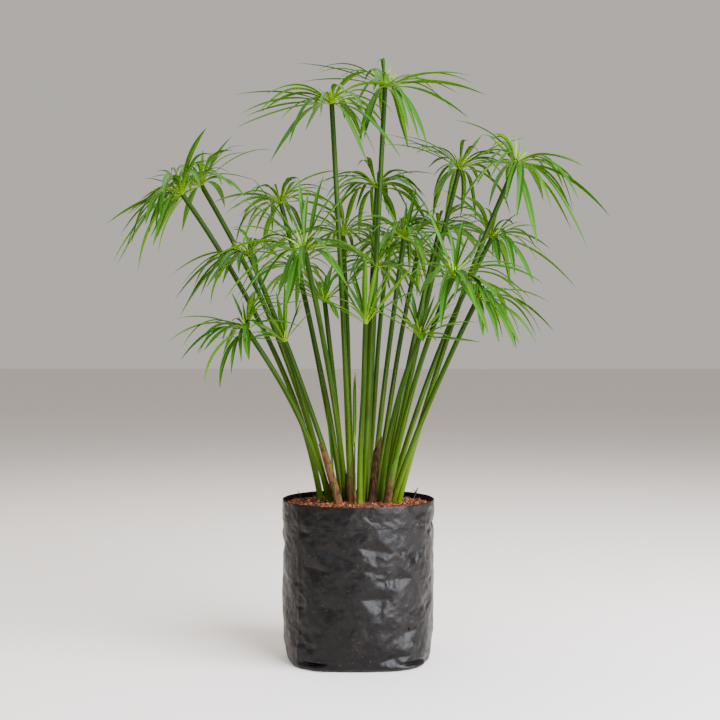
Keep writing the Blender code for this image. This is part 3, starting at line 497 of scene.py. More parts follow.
def start_tree(name, sockets):
    """An empty geometry tree with named inputs: kind and default value for each name."""
    tree = bpy.data.node_groups.new(name, "GeometryNodeTree")
    tree.interface.new_socket("Geometry", in_out="INPUT", socket_type="NodeSocketGeometry")
    for label, (kind, value) in sockets.items():
        socket = tree.interface.new_socket(label, in_out="INPUT", socket_type="NodeSocket" + kind)
        if value is not None:
            socket.default_value = value
    tree.interface.new_socket("Geometry", in_out="OUTPUT", socket_type="NodeSocketGeometry")
    return tree, tree.nodes.new("NodeGroupInput").outputs, tree.nodes.new("NodeGroupOutput").inputs


def finish_tree(tree, geometry, material, out):
    """The end of each tree: real geometry with its material."""
    real = add_node(tree, "GeometryNodeRealizeInstances", {"Geometry": geometry})
    dressed = add_node(tree, "GeometryNodeSetMaterial", {"Geometry": real.outputs[0], "Material": material})
    tree.links.new(dressed.outputs[0], out[0])


def scatter_tree():
    """Small bits strewn over a surface, each turned its own way, with a tone of its own."""
    tree, given, out = start_tree("strewn_bits", {
        "Bits": ("Collection", None), "Spacing": ("Float", 0.002), "Density": ("Float", 200000.0),
        "Least size": ("Float", 0.6), "Most size": ("Float", 1.4), "Tilt": ("Float", 0.5),
        "Seed": ("Int", 1), "Material": ("Material", None)})
    strewn = add_node(tree, "GeometryNodeDistributePointsOnFaces", {
        "Mesh": given["Geometry"], "Distance Min": given["Spacing"], "Density Max": given["Density"],
        "Seed": given["Seed"]}, distribute_method="POISSON")
    bits = add_node(tree, "GeometryNodeCollectionInfo", {
        "Collection": given["Bits"], "Separate Children": True, "Reset Children": True})
    back = add_node(tree, "ShaderNodeMath", {0: given["Tilt"], 1: -1.0}, operation="MULTIPLY").outputs[0]
    low = add_node(tree, "ShaderNodeCombineXYZ", {"X": back, "Y": back, "Z": 0.0})
    high = add_node(tree, "ShaderNodeCombineXYZ", {"X": given["Tilt"], "Y": given["Tilt"], "Z": 2 * math.pi})
    angles = add_node(tree, "FunctionNodeRandomValue", {0: low.outputs[0], 1: high.outputs[0], 8: 11},
                      data_type="FLOAT_VECTOR")
    turn = add_node(tree, "FunctionNodeEulerToRotation", {0: angles.outputs[0]})
    turned = add_node(tree, "FunctionNodeRotateRotation", {
        "Rotation": strewn.outputs["Rotation"], "Rotate By": turn.outputs[0]}, rotation_space="LOCAL")
    size = add_node(tree, "FunctionNodeRandomValue", {2: given["Least size"], 3: given["Most size"], 8: 12},
                    data_type="FLOAT")
    strewn_bits = add_node(tree, "GeometryNodeInstanceOnPoints", {
        "Points": strewn.outputs["Points"], "Instance": bits.outputs[0], "Pick Instance": True,
        "Rotation": turned.outputs[0], "Scale": size.outputs[1]})
    tone = add_node(tree, "FunctionNodeRandomValue", {2: 0.0, 3: 1.0, 8: 13}, data_type="FLOAT")
    toned = add_node(tree, "GeometryNodeStoreNamedAttribute", {
        "Geometry": strewn_bits.outputs[0], "Name": "tone", "Value": tone.outputs[1]},
        data_type="FLOAT", domain="INSTANCE")
    finish_tree(tree, toned.outputs[0], given["Material"], out)
    return tree


def grow(seed_mesh, tree, **values):
    """The plain mesh that a geometry tree makes from a seed mesh, with its faces turned outward."""
    seed = add_object("seed", seed_mesh)
    modifier = seed.modifiers.new("growth", "NODES")
    modifier.node_group = tree
    for item in tree.interface.items_tree:
        label = item.name.replace(" ", "_").lower()
        if item.in_out == "INPUT" and label in values:
            modifier[item.identifier] = values[label]
    mesh = bpy.data.meshes.new_from_object(seed.evaluated_get(bpy.context.evaluated_depsgraph_get()))
    bpy.data.objects.remove(seed)
    shape = bmesh.new()
    shape.from_mesh(mesh)
    bmesh.ops.recalc_face_normals(shape, faces=shape.faces)
    shape.to_mesh(mesh)
    shape.free()
    return mesh


def coir_material(name, dark, light, bright, grain):
    """Coco husk: matt and fibrous, each bit between dark brown and a fresh orange tan."""
    made, tree, shader, place = start_material(name, 0.92, 1.4)
    tone = add_node(tree, "ShaderNodeAttribute", attribute_name="tone").outputs["Fac"]
    grained = add_node(tree, "ShaderNodeTexNoise",
                       {"Vector": place, "Scale": 1 / grain, "Detail": 4.0}).outputs[0]
    lit = add_node(tree, "ShaderNodeMapRange", [tone, 0.1, 0.9]).outputs[0]
    fresh = add_node(tree, "ShaderNodeMapRange", [tone, 0.86, 1.0]).outputs[0]
    pitted = add_node(tree, "ShaderNodeMapRange", [grained, 0.35, 0.65, 0.0, 0.5]).outputs[0]
    colour = shade(dark)
    for share, tint in ((lit, light), (fresh, bright), (pitted, dark)):
        colour = add_node(tree, "ShaderNodeMix", {0: share, 6: colour, 7: shade(tint)},
                          data_type="RGBA").outputs[2]
    tree.links.new(colour, shader.inputs["Base Color"])
    bump = add_node(tree, "ShaderNodeBump", {"Strength": 0.6, "Distance": grain * 0.3, "Height": grained})
    tree.links.new(bump.outputs[0], shader.inputs["Normal"])
    return made


scatter = scatter_tree()
coir_bed = coir_material("coco_peat_sieved", "#1f0e07", "#5f3824", "#84543a", 1.4 * MM)
coir_chip = coir_material("coco_husk_chipped", "#2e150a", "#86461f", "#b87b48", 0.7 * MM)
bed_mesh = shell_mesh("peat_bed", bed_rings(), (0, 0, MIX_FLOOR), (0, 0, mix_height(0, 0)))
bed_mesh.materials.append(coir_bed)
place_piece("peat_bed", bed_mesh, "mix", "growing_mix", sharp=60)
husk_bits = bit_collection("husk_bits", [
    husk_bit("crumb", 0.0034, 0.0026, 0.0022, 6, 2, 0.1, 2),
    husk_bit("flake_a", 0.0060, 0.0022, 0.0016, 5, 3, 0.05, 3),
    husk_bit("flake_b", 0.0048, 0.0026, 0.0017, 5, 3, -0.1, 4),
    husk_bit("flake_c", 0.0042, 0.0017, 0.0013, 5, 3, 0.1, 22),
    husk_bit("flake_d", 0.0052, 0.0020, 0.0020, 5, 3, 0.0, 23),
    husk_bit("fibre_a", 0.0080, 0.0007, 0.0006, 3, 4, 0.18, 5)])
fine_bits = bit_collection("fine_bits", [
    husk_bit("grit_a", 0.0012, 0.0010, 0.0009, 4, 1, 0.0, 31),
    husk_bit("grit_b", 0.0016, 0.0009, 0.0008, 4, 1, 0.0, 32),
    husk_bit("shred_a", 0.0038, 0.0004, 0.0003, 3, 3, 0.15, 33)])
top_rings = [flat_ring(MIX_RADIUS * TOP_REACH * (1 - ring / TOP_RINGS)) for ring in range(TOP_RINGS)]
top_verts = [(x, y, mix_height(x, y)) for ring in top_rings for x, y in ring] + [(0, 0, mix_height(0, 0))]
last_ring = (TOP_RINGS - 1) * BED_SIDES
centre = [(last_ring + k, last_ring + (k + 1) % BED_SIDES, len(top_verts) - 1) for k in range(BED_SIDES)]
top_skin = plain_mesh("mix_top", top_verts, ring_faces(TOP_RINGS, BED_SIDES) + centre)
chips = grow(top_skin, scatter, bits=husk_bits, spacing=CHIP_SPACING, density=400000.0,
             least_size=CHIP_LEAST, most_size=CHIP_MOST, tilt=0.9, seed=3, material=coir_chip)
place_piece("husk_chips", chips, "mix", sharp=50)
crumbs = grow(top_skin, scatter, bits=fine_bits, spacing=CRUMB_SPACING, density=900000.0,
              least_size=0.6, most_size=1.5, tilt=1.2, seed=8, material=coir_chip)
place_piece("peat_crumbs", crumbs, "mix", sharp=50)

# Two bits of dead stem, one of them forked, that lie in the mix by the film and stand up past the rim.
# They are earlier growth of the clump, broken off when the bag was filled, and are now dark and dry.
TWIG_STEPS = 6
# Each length of twig: its start, bend and end, and its radius at the start
TWIGS = [((0.0600, 0.034, 0.161), (0.0630, 0.036, 0.168), (0.0655, 0.037, 0.1750), 0.0013),
         ((0.0625, 0.036, 0.168), (0.0635, 0.036, 0.1715), (0.0610, 0.036, 0.1735), 0.0009),
         ((-0.0640, 0.036, 0.161), (-0.0630, 0.036, 0.167), (-0.0670, 0.037, 0.1720), 0.0010)]


def bezier(start, bend, end, t):
    """A place on a bent line."""
    return start * (1 - t) ** 2 + bend * (2 * t * (1 - t)) + end * t ** 2


def joined_mesh(name, meshes):
    """Several meshes as one, with the material of the first."""
    shape = bmesh.new()
    for mesh in meshes:
        shape.from_mesh(mesh)
    made = bpy.data.meshes.new(name)
    shape.to_mesh(made)
    shape.free()
    made.materials.append(meshes[0].materials[0])
    return made


twig_parts = []
for start, bend, end, girth in TWIGS:
    loops = []
    for step in range(TWIG_STEPS + 1):
        share = step / TWIG_STEPS
        spot = bezier(Vector(start), Vector(bend), Vector(end), share)
        size = girth * (1 - 0.55 * share) * (0.85 + 0.3 * noise.noise(spot * 900))
        loops.append([(spot.x + size * math.cos(math.pi * k / 3), spot.y + size * math.sin(math.pi * k / 3),
                       spot.z + 0.3 * size * math.sin(2 * math.pi * k / 3)) for k in range(6)])
    twig_parts.append(shell_mesh("twig", loops, Vector(start) - UP * girth, Vector(end) + UP * girth * 0.4))
    twig_parts[-1].materials.append(coir_bed)
place_piece("dead_twigs", joined_mesh("dead_twigs", twig_parts), "mix", sharp=50)

# Dust from filling the bag: crumbs of peat and short husk fibres that cling to the film by static.
# The crumbs are up to a millimetre across and the fibres lie flat, curled and as thin as a hair.
DUST_SPACING = 3.4 * MM
dust_coir = coir_material("coir_dust_dry", "#42301f", "#745640", "#9c7b58", 0.7 * MM)
dust_bits = bit_collection("dust_bits", [
    husk_bit("speck_a", 0.0006, 0.0005, 0.0002, 4, 1, 0.0, 6),
    husk_bit("speck_b", 0.0010, 0.0006, 0.0002, 4, 1, 0.0, 7),
    husk_bit("speck_c", 0.0008, 0.0004, 0.0002, 4, 1, 0.0, 10),
    husk_bit("hair_a", 0.0030, 0.00024, 0.00016, 3, 7, 0.20, 8),
    husk_bit("hair_b", 0.0044, 0.0002, 0.00016, 3, 7, -0.14, 9)])
wall_skin = plain_mesh("film_wall", [tuple(p) for ring in outer_wall for p in ring],
                       ring_faces(len(outer_wall), AROUND))
dust = grow(wall_skin, scatter, bits=dust_bits, spacing=DUST_SPACING, density=12000.0,
            least_size=0.5, most_size=1.2, tilt=0.03, seed=5, material=dust_coir)
place_piece("coir_dust", dust, "mix", sharp=50)

# The culms: bare, leafless stems, one for each whorl, that rise from a short rootstock in the mix. They
# are smooth and faintly three-sided, finely ribbed along their length, dark green above and paler at
# the foot, where they are a little thicker and keep small brown scars.
CULM_FOOT = 0.0034
# Places along a culm, and how thick it is there
CULM_TAPER = [(0.0, 1.12), (0.05, 1.0), (1.0, 0.79)]
CULM_SIDES = 14
CULM_STEPS = 48
# Where a culm is picked up, just under the top of the mix, and how far it wavers
CULM_START = 0.1535
CULM_WAVER = 0.9 * MM
CULM_POINTS = 12
# Rings of a culm's solid stand further apart than this
RING_GAP = 0.006


def section_object(name, corners, spots):
    """A closed outline to sweep along a path, with a place across the surface for each corner."""
    count = len(corners)
    mesh = plain_mesh(name, [(x, y, 0) for x, y in corners], [], [(k, (k + 1) % count) for k in range(count)])
    mesh.attributes.new("spot", "FLOAT_VECTOR", "POINT").data.foreach_set(
        "vector", [value for spot in spots for value in spot])
    return add_object(name, mesh)


def sweep_tree(name, taper):
    """An outline swept along each path of the seed, as wide as the path's size times the taper."""
    tree, given, out = start_tree(name, {
        "Section": ("Object", None), "Steps": ("Int", 16), "Material": ("Material", None)})
    paths = add_node(tree, "GeometryNodeMeshToCurve", {"Mesh": given["Geometry"]}).outputs[0]
    paths = add_node(tree, "GeometryNodeCurveSplineType", {"Curve": paths},
                     spline_type="CATMULL_ROM").outputs[0]
    paths = add_node(tree, "GeometryNodeResampleCurve", {"Curve": paths, "Count": given["Steps"]},
                     mode="COUNT").outputs[0]
    along = add_node(tree, "GeometryNodeSplineParameter", {}).outputs["Factor"]
    paths = add_node(tree, "GeometryNodeStoreNamedAttribute", {
        "Geometry": paths, "Name": "along", "Value": along}, data_type="FLOAT", domain="POINT").outputs[0]
    side = add_node(tree, "GeometryNodeInputNamedAttribute", {"Name": "side"}, data_type="FLOAT_VECTOR")
    paths = add_node(tree, "GeometryNodeSetCurveNormal", {"Curve": paths, "Normal": side.outputs[0]},
                     mode="FREE").outputs[0]
    shape = add_node(tree, "ShaderNodeFloatCurve", {"Value": along})
    curve = shape.mapping.curves[0]
    shape.mapping.use_clip = False
    for spot, (factor, share) in enumerate(taper):
        if spot < 2:
            curve.points[spot].location = (factor, share)
        else:
            curve.points.new(factor, share)
    shape.mapping.update()
    size = add_node(tree, "GeometryNodeInputNamedAttribute", {"Name": "size"}, data_type="FLOAT").outputs[0]
    width = add_node(tree, "ShaderNodeMath", {0: size, 1: shape.outputs[0]}, operation="MULTIPLY").outputs[0]
    section = add_node(tree, "GeometryNodeObjectInfo", {"Object": given["Section"]}).outputs["Geometry"]
    outline = add_node(tree, "GeometryNodeMeshToCurve", {"Mesh": section}).outputs[0]
    swept = add_node(tree, "GeometryNodeCurveToMesh", {
        "Curve": paths, "Profile Curve": outline, "Scale": width, "Fill Caps": True}).outputs[0]
    finish_tree(tree, swept, given["Material"], out)
    return tree


def give_points(mesh, **values):
    """Store a number for each point of a mesh under each name."""
    for label, numbers in values.items():
        mesh.attributes.new(label, "FLOAT", "POINT").data.foreach_set("value", numbers)


def path_mesh(name, paths):
    """Paths for a sweep as one mesh of edges: points, sides, sizes, tone and youth of each path."""
    verts, edges, sides, sizes, tones, youths = [], [], [], [], [], []
    for points, side, size, tone, youth in paths:
        edges += [(len(verts) + k, len(verts) + k + 1) for k in range(len(points) - 1)]
        verts += [tuple(p) for p in points]
        sides += [value for vector in side for value in vector]
        sizes += [size] * len(points)
        tones += [tone] * len(points)
        youths += [youth] * len(points)
    mesh = plain_mesh(name, verts, [], edges)
    mesh.attributes.new("side", "FLOAT_VECTOR", "POINT").data.foreach_set("vector", sides)
    give_points(mesh, size=sizes, tone=tones, youth=youths)
    return mesh


def bezier_direction(start, bend, end, t):
    """Which way a bent line runs at a place on it."""
    return ((bend - start) * (1 - t) + (end - bend) * t).normalized()


def culm_curve(number):
    """Start, bend and end of a culm's middle line, from the rings of its solid."""
    corners = {tuple(round(c, 6) for c in v.co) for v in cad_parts["culm_" + number].data.vertices}
    rings = []
    for corner in sorted(corners, key=lambda c: c[2]):
        if not rings or corner[2] - rings[-1][-1].z > RING_GAP:
            rings.append([])
        rings[-1].append(Vector(corner))
    middles = [sum(ring, Vector()) / len(ring) for ring in rings]
    start, end = middles[0], middles[-1]
    middle = min(middles[1:-1], key=lambda m: abs(m.z - (start.z + end.z) / 2))
    t = (middle.z - start.z) / (end.z - start.z)
    return start, (middle - start * (1 - t) ** 2 - end * t ** 2) / (2 * t * (1 - t)), end


def culm_path(number):
    """A culm's path from just under the top of the mix, with the slight waver of a grown stem."""
    chance = random.Random(100 + int(number))
    curve = culm_curve(number)
    first = (CULM_START - curve[0].z) / (curve[2].z - curve[0].z)
    waver = Vector((chance.uniform(-1, 1), chance.uniform(-1, 1), 0)) * CULM_WAVER
    points, sides = [], []
    for k in range(CULM_POINTS):
        share = k / (CULM_POINTS - 1)
        t = first + (1 - first) * share
        sway = waver * math.sin(2 * math.pi * share) * math.sin(math.pi * share)
        points.append(bezier(*curve, t) + sway)
        direction = bezier_direction(*curve, t)
        sides.append((Vector((1, 0, 0)) - direction * direction.x).normalized())
    return points, sides, CULM_FOOT, chance.random(), 0.0


def culm_material():
    """Living stem: waxy, dark green above and yellower at the foot, finely ribbed, with brown flecks."""
    made, tree, shader, place = start_material("sedge_culm_waxy", 0.42, 1.42, 0.09)
    spot = add_node(tree, "ShaderNodeAttribute", attribute_name="spot").outputs["Vector"]
    along, tone = (add_node(tree, "ShaderNodeAttribute", attribute_name=label).outputs["Fac"]
                   for label in ("along", "tone"))
    lengthwise = add_node(tree, "ShaderNodeMath", [along, 2.0], operation="MULTIPLY").outputs[0]
    lengthwise = add_node(tree, "ShaderNodeCombineXYZ", {"Z": lengthwise}).outputs[0]
    ribs_at = add_node(tree, "ShaderNodeVectorMath", [spot, lengthwise], operation="ADD").outputs[0]
    # Real ribs are 0.3 mm apart. They are drawn some 1.5 mm apart, because finer ones flicker.
    ribs = add_node(tree, "ShaderNodeTexNoise", {"Vector": ribs_at, "Scale": 2.0, "Detail": 1.0}).outputs[0]
    patches = add_node(tree, "ShaderNodeTexNoise",
                       {"Vector": place, "Scale": 1 / 0.03, "Detail": 3.0}).outputs[0]
    scars = add_node(tree, "ShaderNodeTexVoronoi", {"Vector": place, "Scale": 1 / 0.013}).outputs
    scar = add_node(tree, "ShaderNodeMapRange", [scars["Distance"], 0.08, 0.13, 0.85, 0.0]).outputs[0]
    foot_only = add_node(tree, "ShaderNodeMapRange", [along, 0.12, 0.40, 1.0, 0.0]).outputs[0]
    scar = add_node(tree, "ShaderNodeMath", [scar, foot_only], operation="MULTIPLY").outputs[0]
    streak = add_node(tree, "ShaderNodeTexNoise", {"Vector": ribs_at, "Scale": 1.6, "Detail": 1.0}).outputs[0]
    colour = shade("#2d4601")
    # For each tint: what it follows, over which range, how much of it at either end of that, its colour
    layers = [
        (tone, 0.0, 1.0, 0.0, 0.8, "#465f04"),
        (along, 0.02, 0.45, 0.0, 1.0, "#183000"),
        (ribs, 0.40, 0.70, 0.0, 0.28, "#4a6807"),
        (patches, 0.55, 0.75, 0.0, 0.45, "#152000"),
        (streak, 0.60, 0.72, 0.0, 0.5, "#4a4618"),
        (along, 0.0, 0.04, 0.5, 0.0, "#647f1c"),
        (scar, 0.0, 1.0, 0.0, 1.0, "#6f5226")]
    for lead, low, high, least, most, tint in layers:
        share = add_node(tree, "ShaderNodeMapRange", [lead, low, high, least, most]).outputs[0]
        colour = add_node(tree, "ShaderNodeMix", {0: share, 6: colour, 7: shade(tint)},
                          data_type="RGBA").outputs[2]
    tree.links.new(colour, shader.inputs["Base Color"])
    bump = add_node(tree, "ShaderNodeBump", {"Strength": 0.25, "Distance": 0.0003, "Height": ribs})
    tree.links.new(bump.outputs[0], shader.inputs["Normal"])
    return made


def culm_section():
    """A stem's outline across, faintly three-sided, for a radius of one."""
    corners, spots = [], []
    for k in range(CULM_SIDES):
        angle = 2 * math.pi * k / CULM_SIDES
        radius = 1 + 0.05 * math.cos(3 * angle)
        corners.append((radius * math.cos(angle), radius * math.sin(angle)))
        spots.append((math.cos(angle), math.sin(angle), 0))
    return section_object("culm_section", corners, spots)


numbers = sorted(name[-2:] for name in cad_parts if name.startswith("culm_"))
culm_skin = culm_material()
culm_outline = culm_section()
culm_sweep = sweep_tree("swept_culm", CULM_TAPER)
for number in numbers:
    stem = grow(path_mesh("culm_path", [culm_path(number)]), culm_sweep, section=culm_outline,
                steps=CULM_STEPS, material=culm_skin)
    place_piece("stem_" + number, stem, "culm", "culm_" + number, sharp=60)

# The whorls: on top of each culm a ring of strap bracts round a short hub, with a tuft of young bracts
# and thread-like flower rays in its middle. A bract is a thin blade folded along its midrib, widest near
# its middle, drawn to a long point, matt and cool green above, and painted yellower underneath as
# light coming through.
BRACT_TAPER = [(0.0, 0.28), (0.08, 0.38), (0.25, 0.72), (0.45, 1.0), (0.62, 0.94), (0.80, 0.60),
               (0.92, 0.26), (1.0, 0.01)]
RAY_TAPER = [(0.0, 1.0), (0.80, 0.75), (0.88, 1.9), (1.0, 0.15)]
BRACT_STEPS = 22
RAY_STEPS = 10
RAY_SIDES = 5
# In a bract's solid: edges at its tip are longer than this, and its second ring stands this far along
TIP_EDGE = 0.006
SECOND_RING = 0.65
# A whorl whose bracts start out steeper than this hasn't opened yet, and gets fewer narrow bracts
UPRIGHT = 0.70
NARROW_YOUNG = 7
NARROW_OPEN = 16
# A blade is this much wider than the bar of its solid, and slimmer by RISING where it still stands up
WIDENING = (1.08, 1.38)
RISING = 0.66
# How far a blade rolls at its root and twists by its tip (radians), and sways (share of its length)
ROLL = 0.22
TWIST = 0.38
SWAY = 0.022
BLADE_POINTS = 9
# The hub: heights from its middle and radii, its lift above the culm's end, and its lowest and top point
HUB_RINGS = [(-0.0035, 0.0023), (-0.0012, 0.0026), (0.0008, 0.0030), (0.0024, 0.0026), (0.0036, 0.0014)]
HUB_SIDES = 12
HUB_LIFT = 0.0016
HUB_ENDS = (-0.0036, 0.0038)


def bract_section():
    """A blade's outline across, for a width of one: folded along the midrib, its halves bowed, thin."""
    upper = [(-0.5, 0.02), (-0.27, -0.07), (0.0, -0.17), (0.27, -0.07), (0.5, 0.02)]
    lower = [(0.5, -0.03), (0.27, -0.15), (0.0, -0.26), (-0.27, -0.15), (-0.5, -0.03)]
    corners = upper + lower
    spots = [(x * 2, 1.0, 0) for x, _ in upper] + [(x * 2, 0.0, 0) for x, _ in lower]
    return section_object("bract_section", corners, spots)


def merged_solid(node):
    """The corners of a node's solid and their neighbours, its loose triangles joined."""
    shape = bmesh.new()
    shape.from_mesh(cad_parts[node].data)
    bmesh.ops.remove_doubles(shape, verts=shape.verts, dist=0.00001)
    shape.verts.index_update()
    corners = {v.index: v.co.copy() for v in shape.verts}
    beside = {v.index: {e.other_vert(v).index for e in v.link_edges} for v in shape.verts}
    shape.free()
    return corners, beside


def across_section(corners, ring):
    """Middle, width and direction across of a bract where its solid has a ring of three corners."""
    pairs = [(ring[0], ring[1]), (ring[1], ring[2]), (ring[2], ring[0])]
    a, b = max(pairs, key=lambda pair: (corners[pair[0]] - corners[pair[1]]).length)
    across = corners[a] - corners[b]
    return (corners[a] + corners[b]) / 2, across.length, across.normalized()


def bracts_of(number):
    """The bracts of a whorl, read from its solid: root, bend, tip, width and direction across."""
    corners, beside = merged_solid("whorl_" + number)
    found = []
    for tip in sorted(corners):
        near = beside[tip]
        if len(near) != 3 or min((corners[tip] - corners[k]).length for k in near) < TIP_EDGE:
            continue
        second = sorted(near)
        first = sorted(set().union(*[beside[k] for k in second]) - set(second) - {tip})
        foot = sorted(set().union(*[beside[k] for k in first]) - set(second) - set(first))
        root = sum((corners[k] for k in foot), Vector()) / len(foot)
        at_second, _, _ = across_section(corners, second)
        _, width, side = across_section(corners, first)
        t = SECOND_RING
        bend = (at_second - root * (1 - t) ** 2 - corners[tip] * t ** 2) / (2 * t * (1 - t))
        found.append((root, bend, corners[tip], width, side))
    return found


def blade_path(root, bend, tip, width, side, chance, roll, youth):
    """A blade's path with its own sway, roll and twist, its upper face turned away from the ground."""
    if bezier_direction(root, bend, tip, 0.3).cross(side).z < 0:
        side = -side
    length = (bend - root).length + (tip - bend).length
    start_roll, end_roll = chance.uniform(-roll, roll), chance.uniform(-TWIST, TWIST)
    first_sway, second_sway = (chance.uniform(-SWAY, SWAY) * length for _ in range(2))
    points, sides = [], []
    for k in range(BLADE_POINTS):
        t = k / (BLADE_POINTS - 1)
        shift = first_sway * math.sin(math.pi * t) + second_sway * math.sin(2 * math.pi * t) * 0.6
        direction = bezier_direction(root, bend, tip, t)
        points.append(bezier(root, bend, tip, t) + side * shift)
        flat = (side - direction * side.dot(direction)).normalized()
        sides.append(Quaternion(direction, start_roll * min(1.0, 3 * t) + end_roll * t ** 1.5) @ flat)
    width *= chance.uniform(*WIDENING) * (RISING if tip.z > root.z else 1.0)
    return points, sides, width, chance.random(), youth


def turn_of(point, hub, axis):
    """How far round its stem a point lies."""
    across = axis.orthogonal().normalized()
    return math.atan2((point - hub).dot(axis.cross(across)), (point - hub).dot(across))


def bracts_between(bracts, hub, axis, most, chance):
    """The narrower bracts between those of the solid: each between two neighbours, and shorter."""
    ordered = sorted(bracts, key=lambda bract: turn_of(bract[1], hub, axis))
    gaps = []
    for first, second in zip(ordered, ordered[1:] + ordered[:1]):
        gap = (turn_of(second[1], hub, axis) - turn_of(first[1], hub, axis)) % (2 * math.pi)
        gaps += [(gap / 2, first, second, share) for share in ((0.5,) if gap < 0.7 else (0.33, 0.67))]
    found = []
    for _, first, second, share in sorted(gaps, key=lambda entry: -entry[0])[:most]:
        share += chance.uniform(-0.12, 0.12)
        stretch = chance.uniform(0.74, 1.02)
        lift = axis * chance.uniform(0.02, 0.20) * (first[2] - first[0]).length
        root = first[0].lerp(second[0], share)
        bend = hub + (first[1] - hub).lerp(second[1] - hub, share) * stretch + lift
        tip = hub + (first[2] - hub).lerp(second[2] - hub, share) * stretch
        second_side = second[4] if first[4].dot(second[4]) > 0 else -second[4]
        side = first[4].lerp(second_side, share)
        if side.length < 0.3:
            side = (bend - root).cross(axis)
        width = (first[3] + second[3]) / 2 * chance.uniform(0.50, 0.88)
        found.append((root, bend, tip, width, side.normalized()))
    return found


def tuft_paths(hub, axis, reach, upright, chance):
    """Young bracts in the middle of a whorl and the thin pale rays among them."""
    across = axis.orthogonal().normalized()
    blades, rays = [], []
    # For each kind: how many, least and most length (share of the whorl's reach), rise (degrees), width
    kinds = [(7 if upright else 13, 0.10, 0.27, 35, 76, 0.0013, 0.0025, blades),
             (0 if upright else 8, 0.12, 0.30, 15, 65, 0.0002, 0.00028, rays)]
    for count, shortest, longest, lowest, steepest, thin, wide, group in kinds:
        for k in range(count):
            turn = 2 * math.pi * (k + chance.uniform(-0.3, 0.3)) / count
            level = Quaternion(axis, turn) @ across
            lift = math.radians(chance.uniform(lowest, steepest))
            start = level * math.cos(lift) + axis * math.sin(lift)
            length = reach * chance.uniform(shortest, longest)
            root = hub + level * 0.0012 + axis * 0.001
            bend = root + start * length * 0.5
            later = (start + level * 0.45 - UP * 0.12).normalized()
            group.append(blade_path(root, bend, bend + later * length * 0.5, chance.uniform(thin, wide),
                                    axis.cross(level), chance, 0.4, 1.0))
    return blades, rays


def hub_rings(hub, axis):
    """The knob where a culm ends and its bracts begin."""
    across = axis.orthogonal().normalized()
    outward = [Quaternion(axis, 2 * math.pi * k / HUB_SIDES) @ across for k in range(HUB_SIDES)]
    return [[hub + axis * height + out * radius for out in outward] for height, radius in HUB_RINGS]


def bract_material():
    """Living blade: matt, faintly veined, cool dark green above, underside painted lighter as light let
    through.
    """
    made, tree, shader, place = start_material("sedge_bract_living", 0.48, 1.42, 0.10)
    spot = add_node(tree, "ShaderNodeAttribute", attribute_name="spot").outputs["Vector"]
    across, upper = add_node(tree, "ShaderNodeSeparateXYZ", [spot]).outputs[:2]
    along, tone, youth = (add_node(tree, "ShaderNodeAttribute", attribute_name=label).outputs["Fac"]
                          for label in ("along", "tone", "youth"))
    # Real veins are a third of a millimetre apart. Two soft bands stand for them: finer ones flicker.
    turned = add_node(tree, "ShaderNodeMath", [across, 6.3], operation="MULTIPLY").outputs[0]
    veins = add_node(tree, "ShaderNodeMath", [turned], operation="COSINE").outputs[0]
    middle = add_node(tree, "ShaderNodeMath", [across], operation="ABSOLUTE").outputs[0]
    patches = add_node(tree, "ShaderNodeTexNoise",
                       {"Vector": place, "Scale": 1 / 0.02, "Detail": 3.0}).outputs[0]
    colour = shade("#274d01")
    layers = [
        (tone, 0.0, 1.0, 0.0, 1.0, "#3f6402"),
        # Without the upper tint the underside stays lighter and yellower: painted light coming through
        (upper, 0.0, 1.0, 0.0, 0.66, "#1b4913"),
        (veins, -1.0, 1.0, 0.0, 0.08, "#578210"),
        # A paler midrib, lightened further as a painted highlight along the fold
        (middle, 0.0, 0.40, 0.20, 0.0, "#5f8c14"),
        (patches, 0.5, 0.8, 0.0, 0.22, "#173602"),
        (along, 0.0, 0.22, 0.85, 0.0, "#648602"),
        (youth, 0.0, 1.0, 0.0, 1.0, "#729800"),
        (along, 0.96, 0.99, 0.0, 0.7, "#806c34")]
    for lead, low, high, least, most, tint in layers:
        share = add_node(tree, "ShaderNodeMapRange", [lead, low, high, least, most]).outputs[0]
        colour = add_node(tree, "ShaderNodeMix", {0: share, 6: colour, 7: shade(tint)},
                          data_type="RGBA").outputs[2]
    tree.links.new(colour, shader.inputs["Base Color"])
    return made


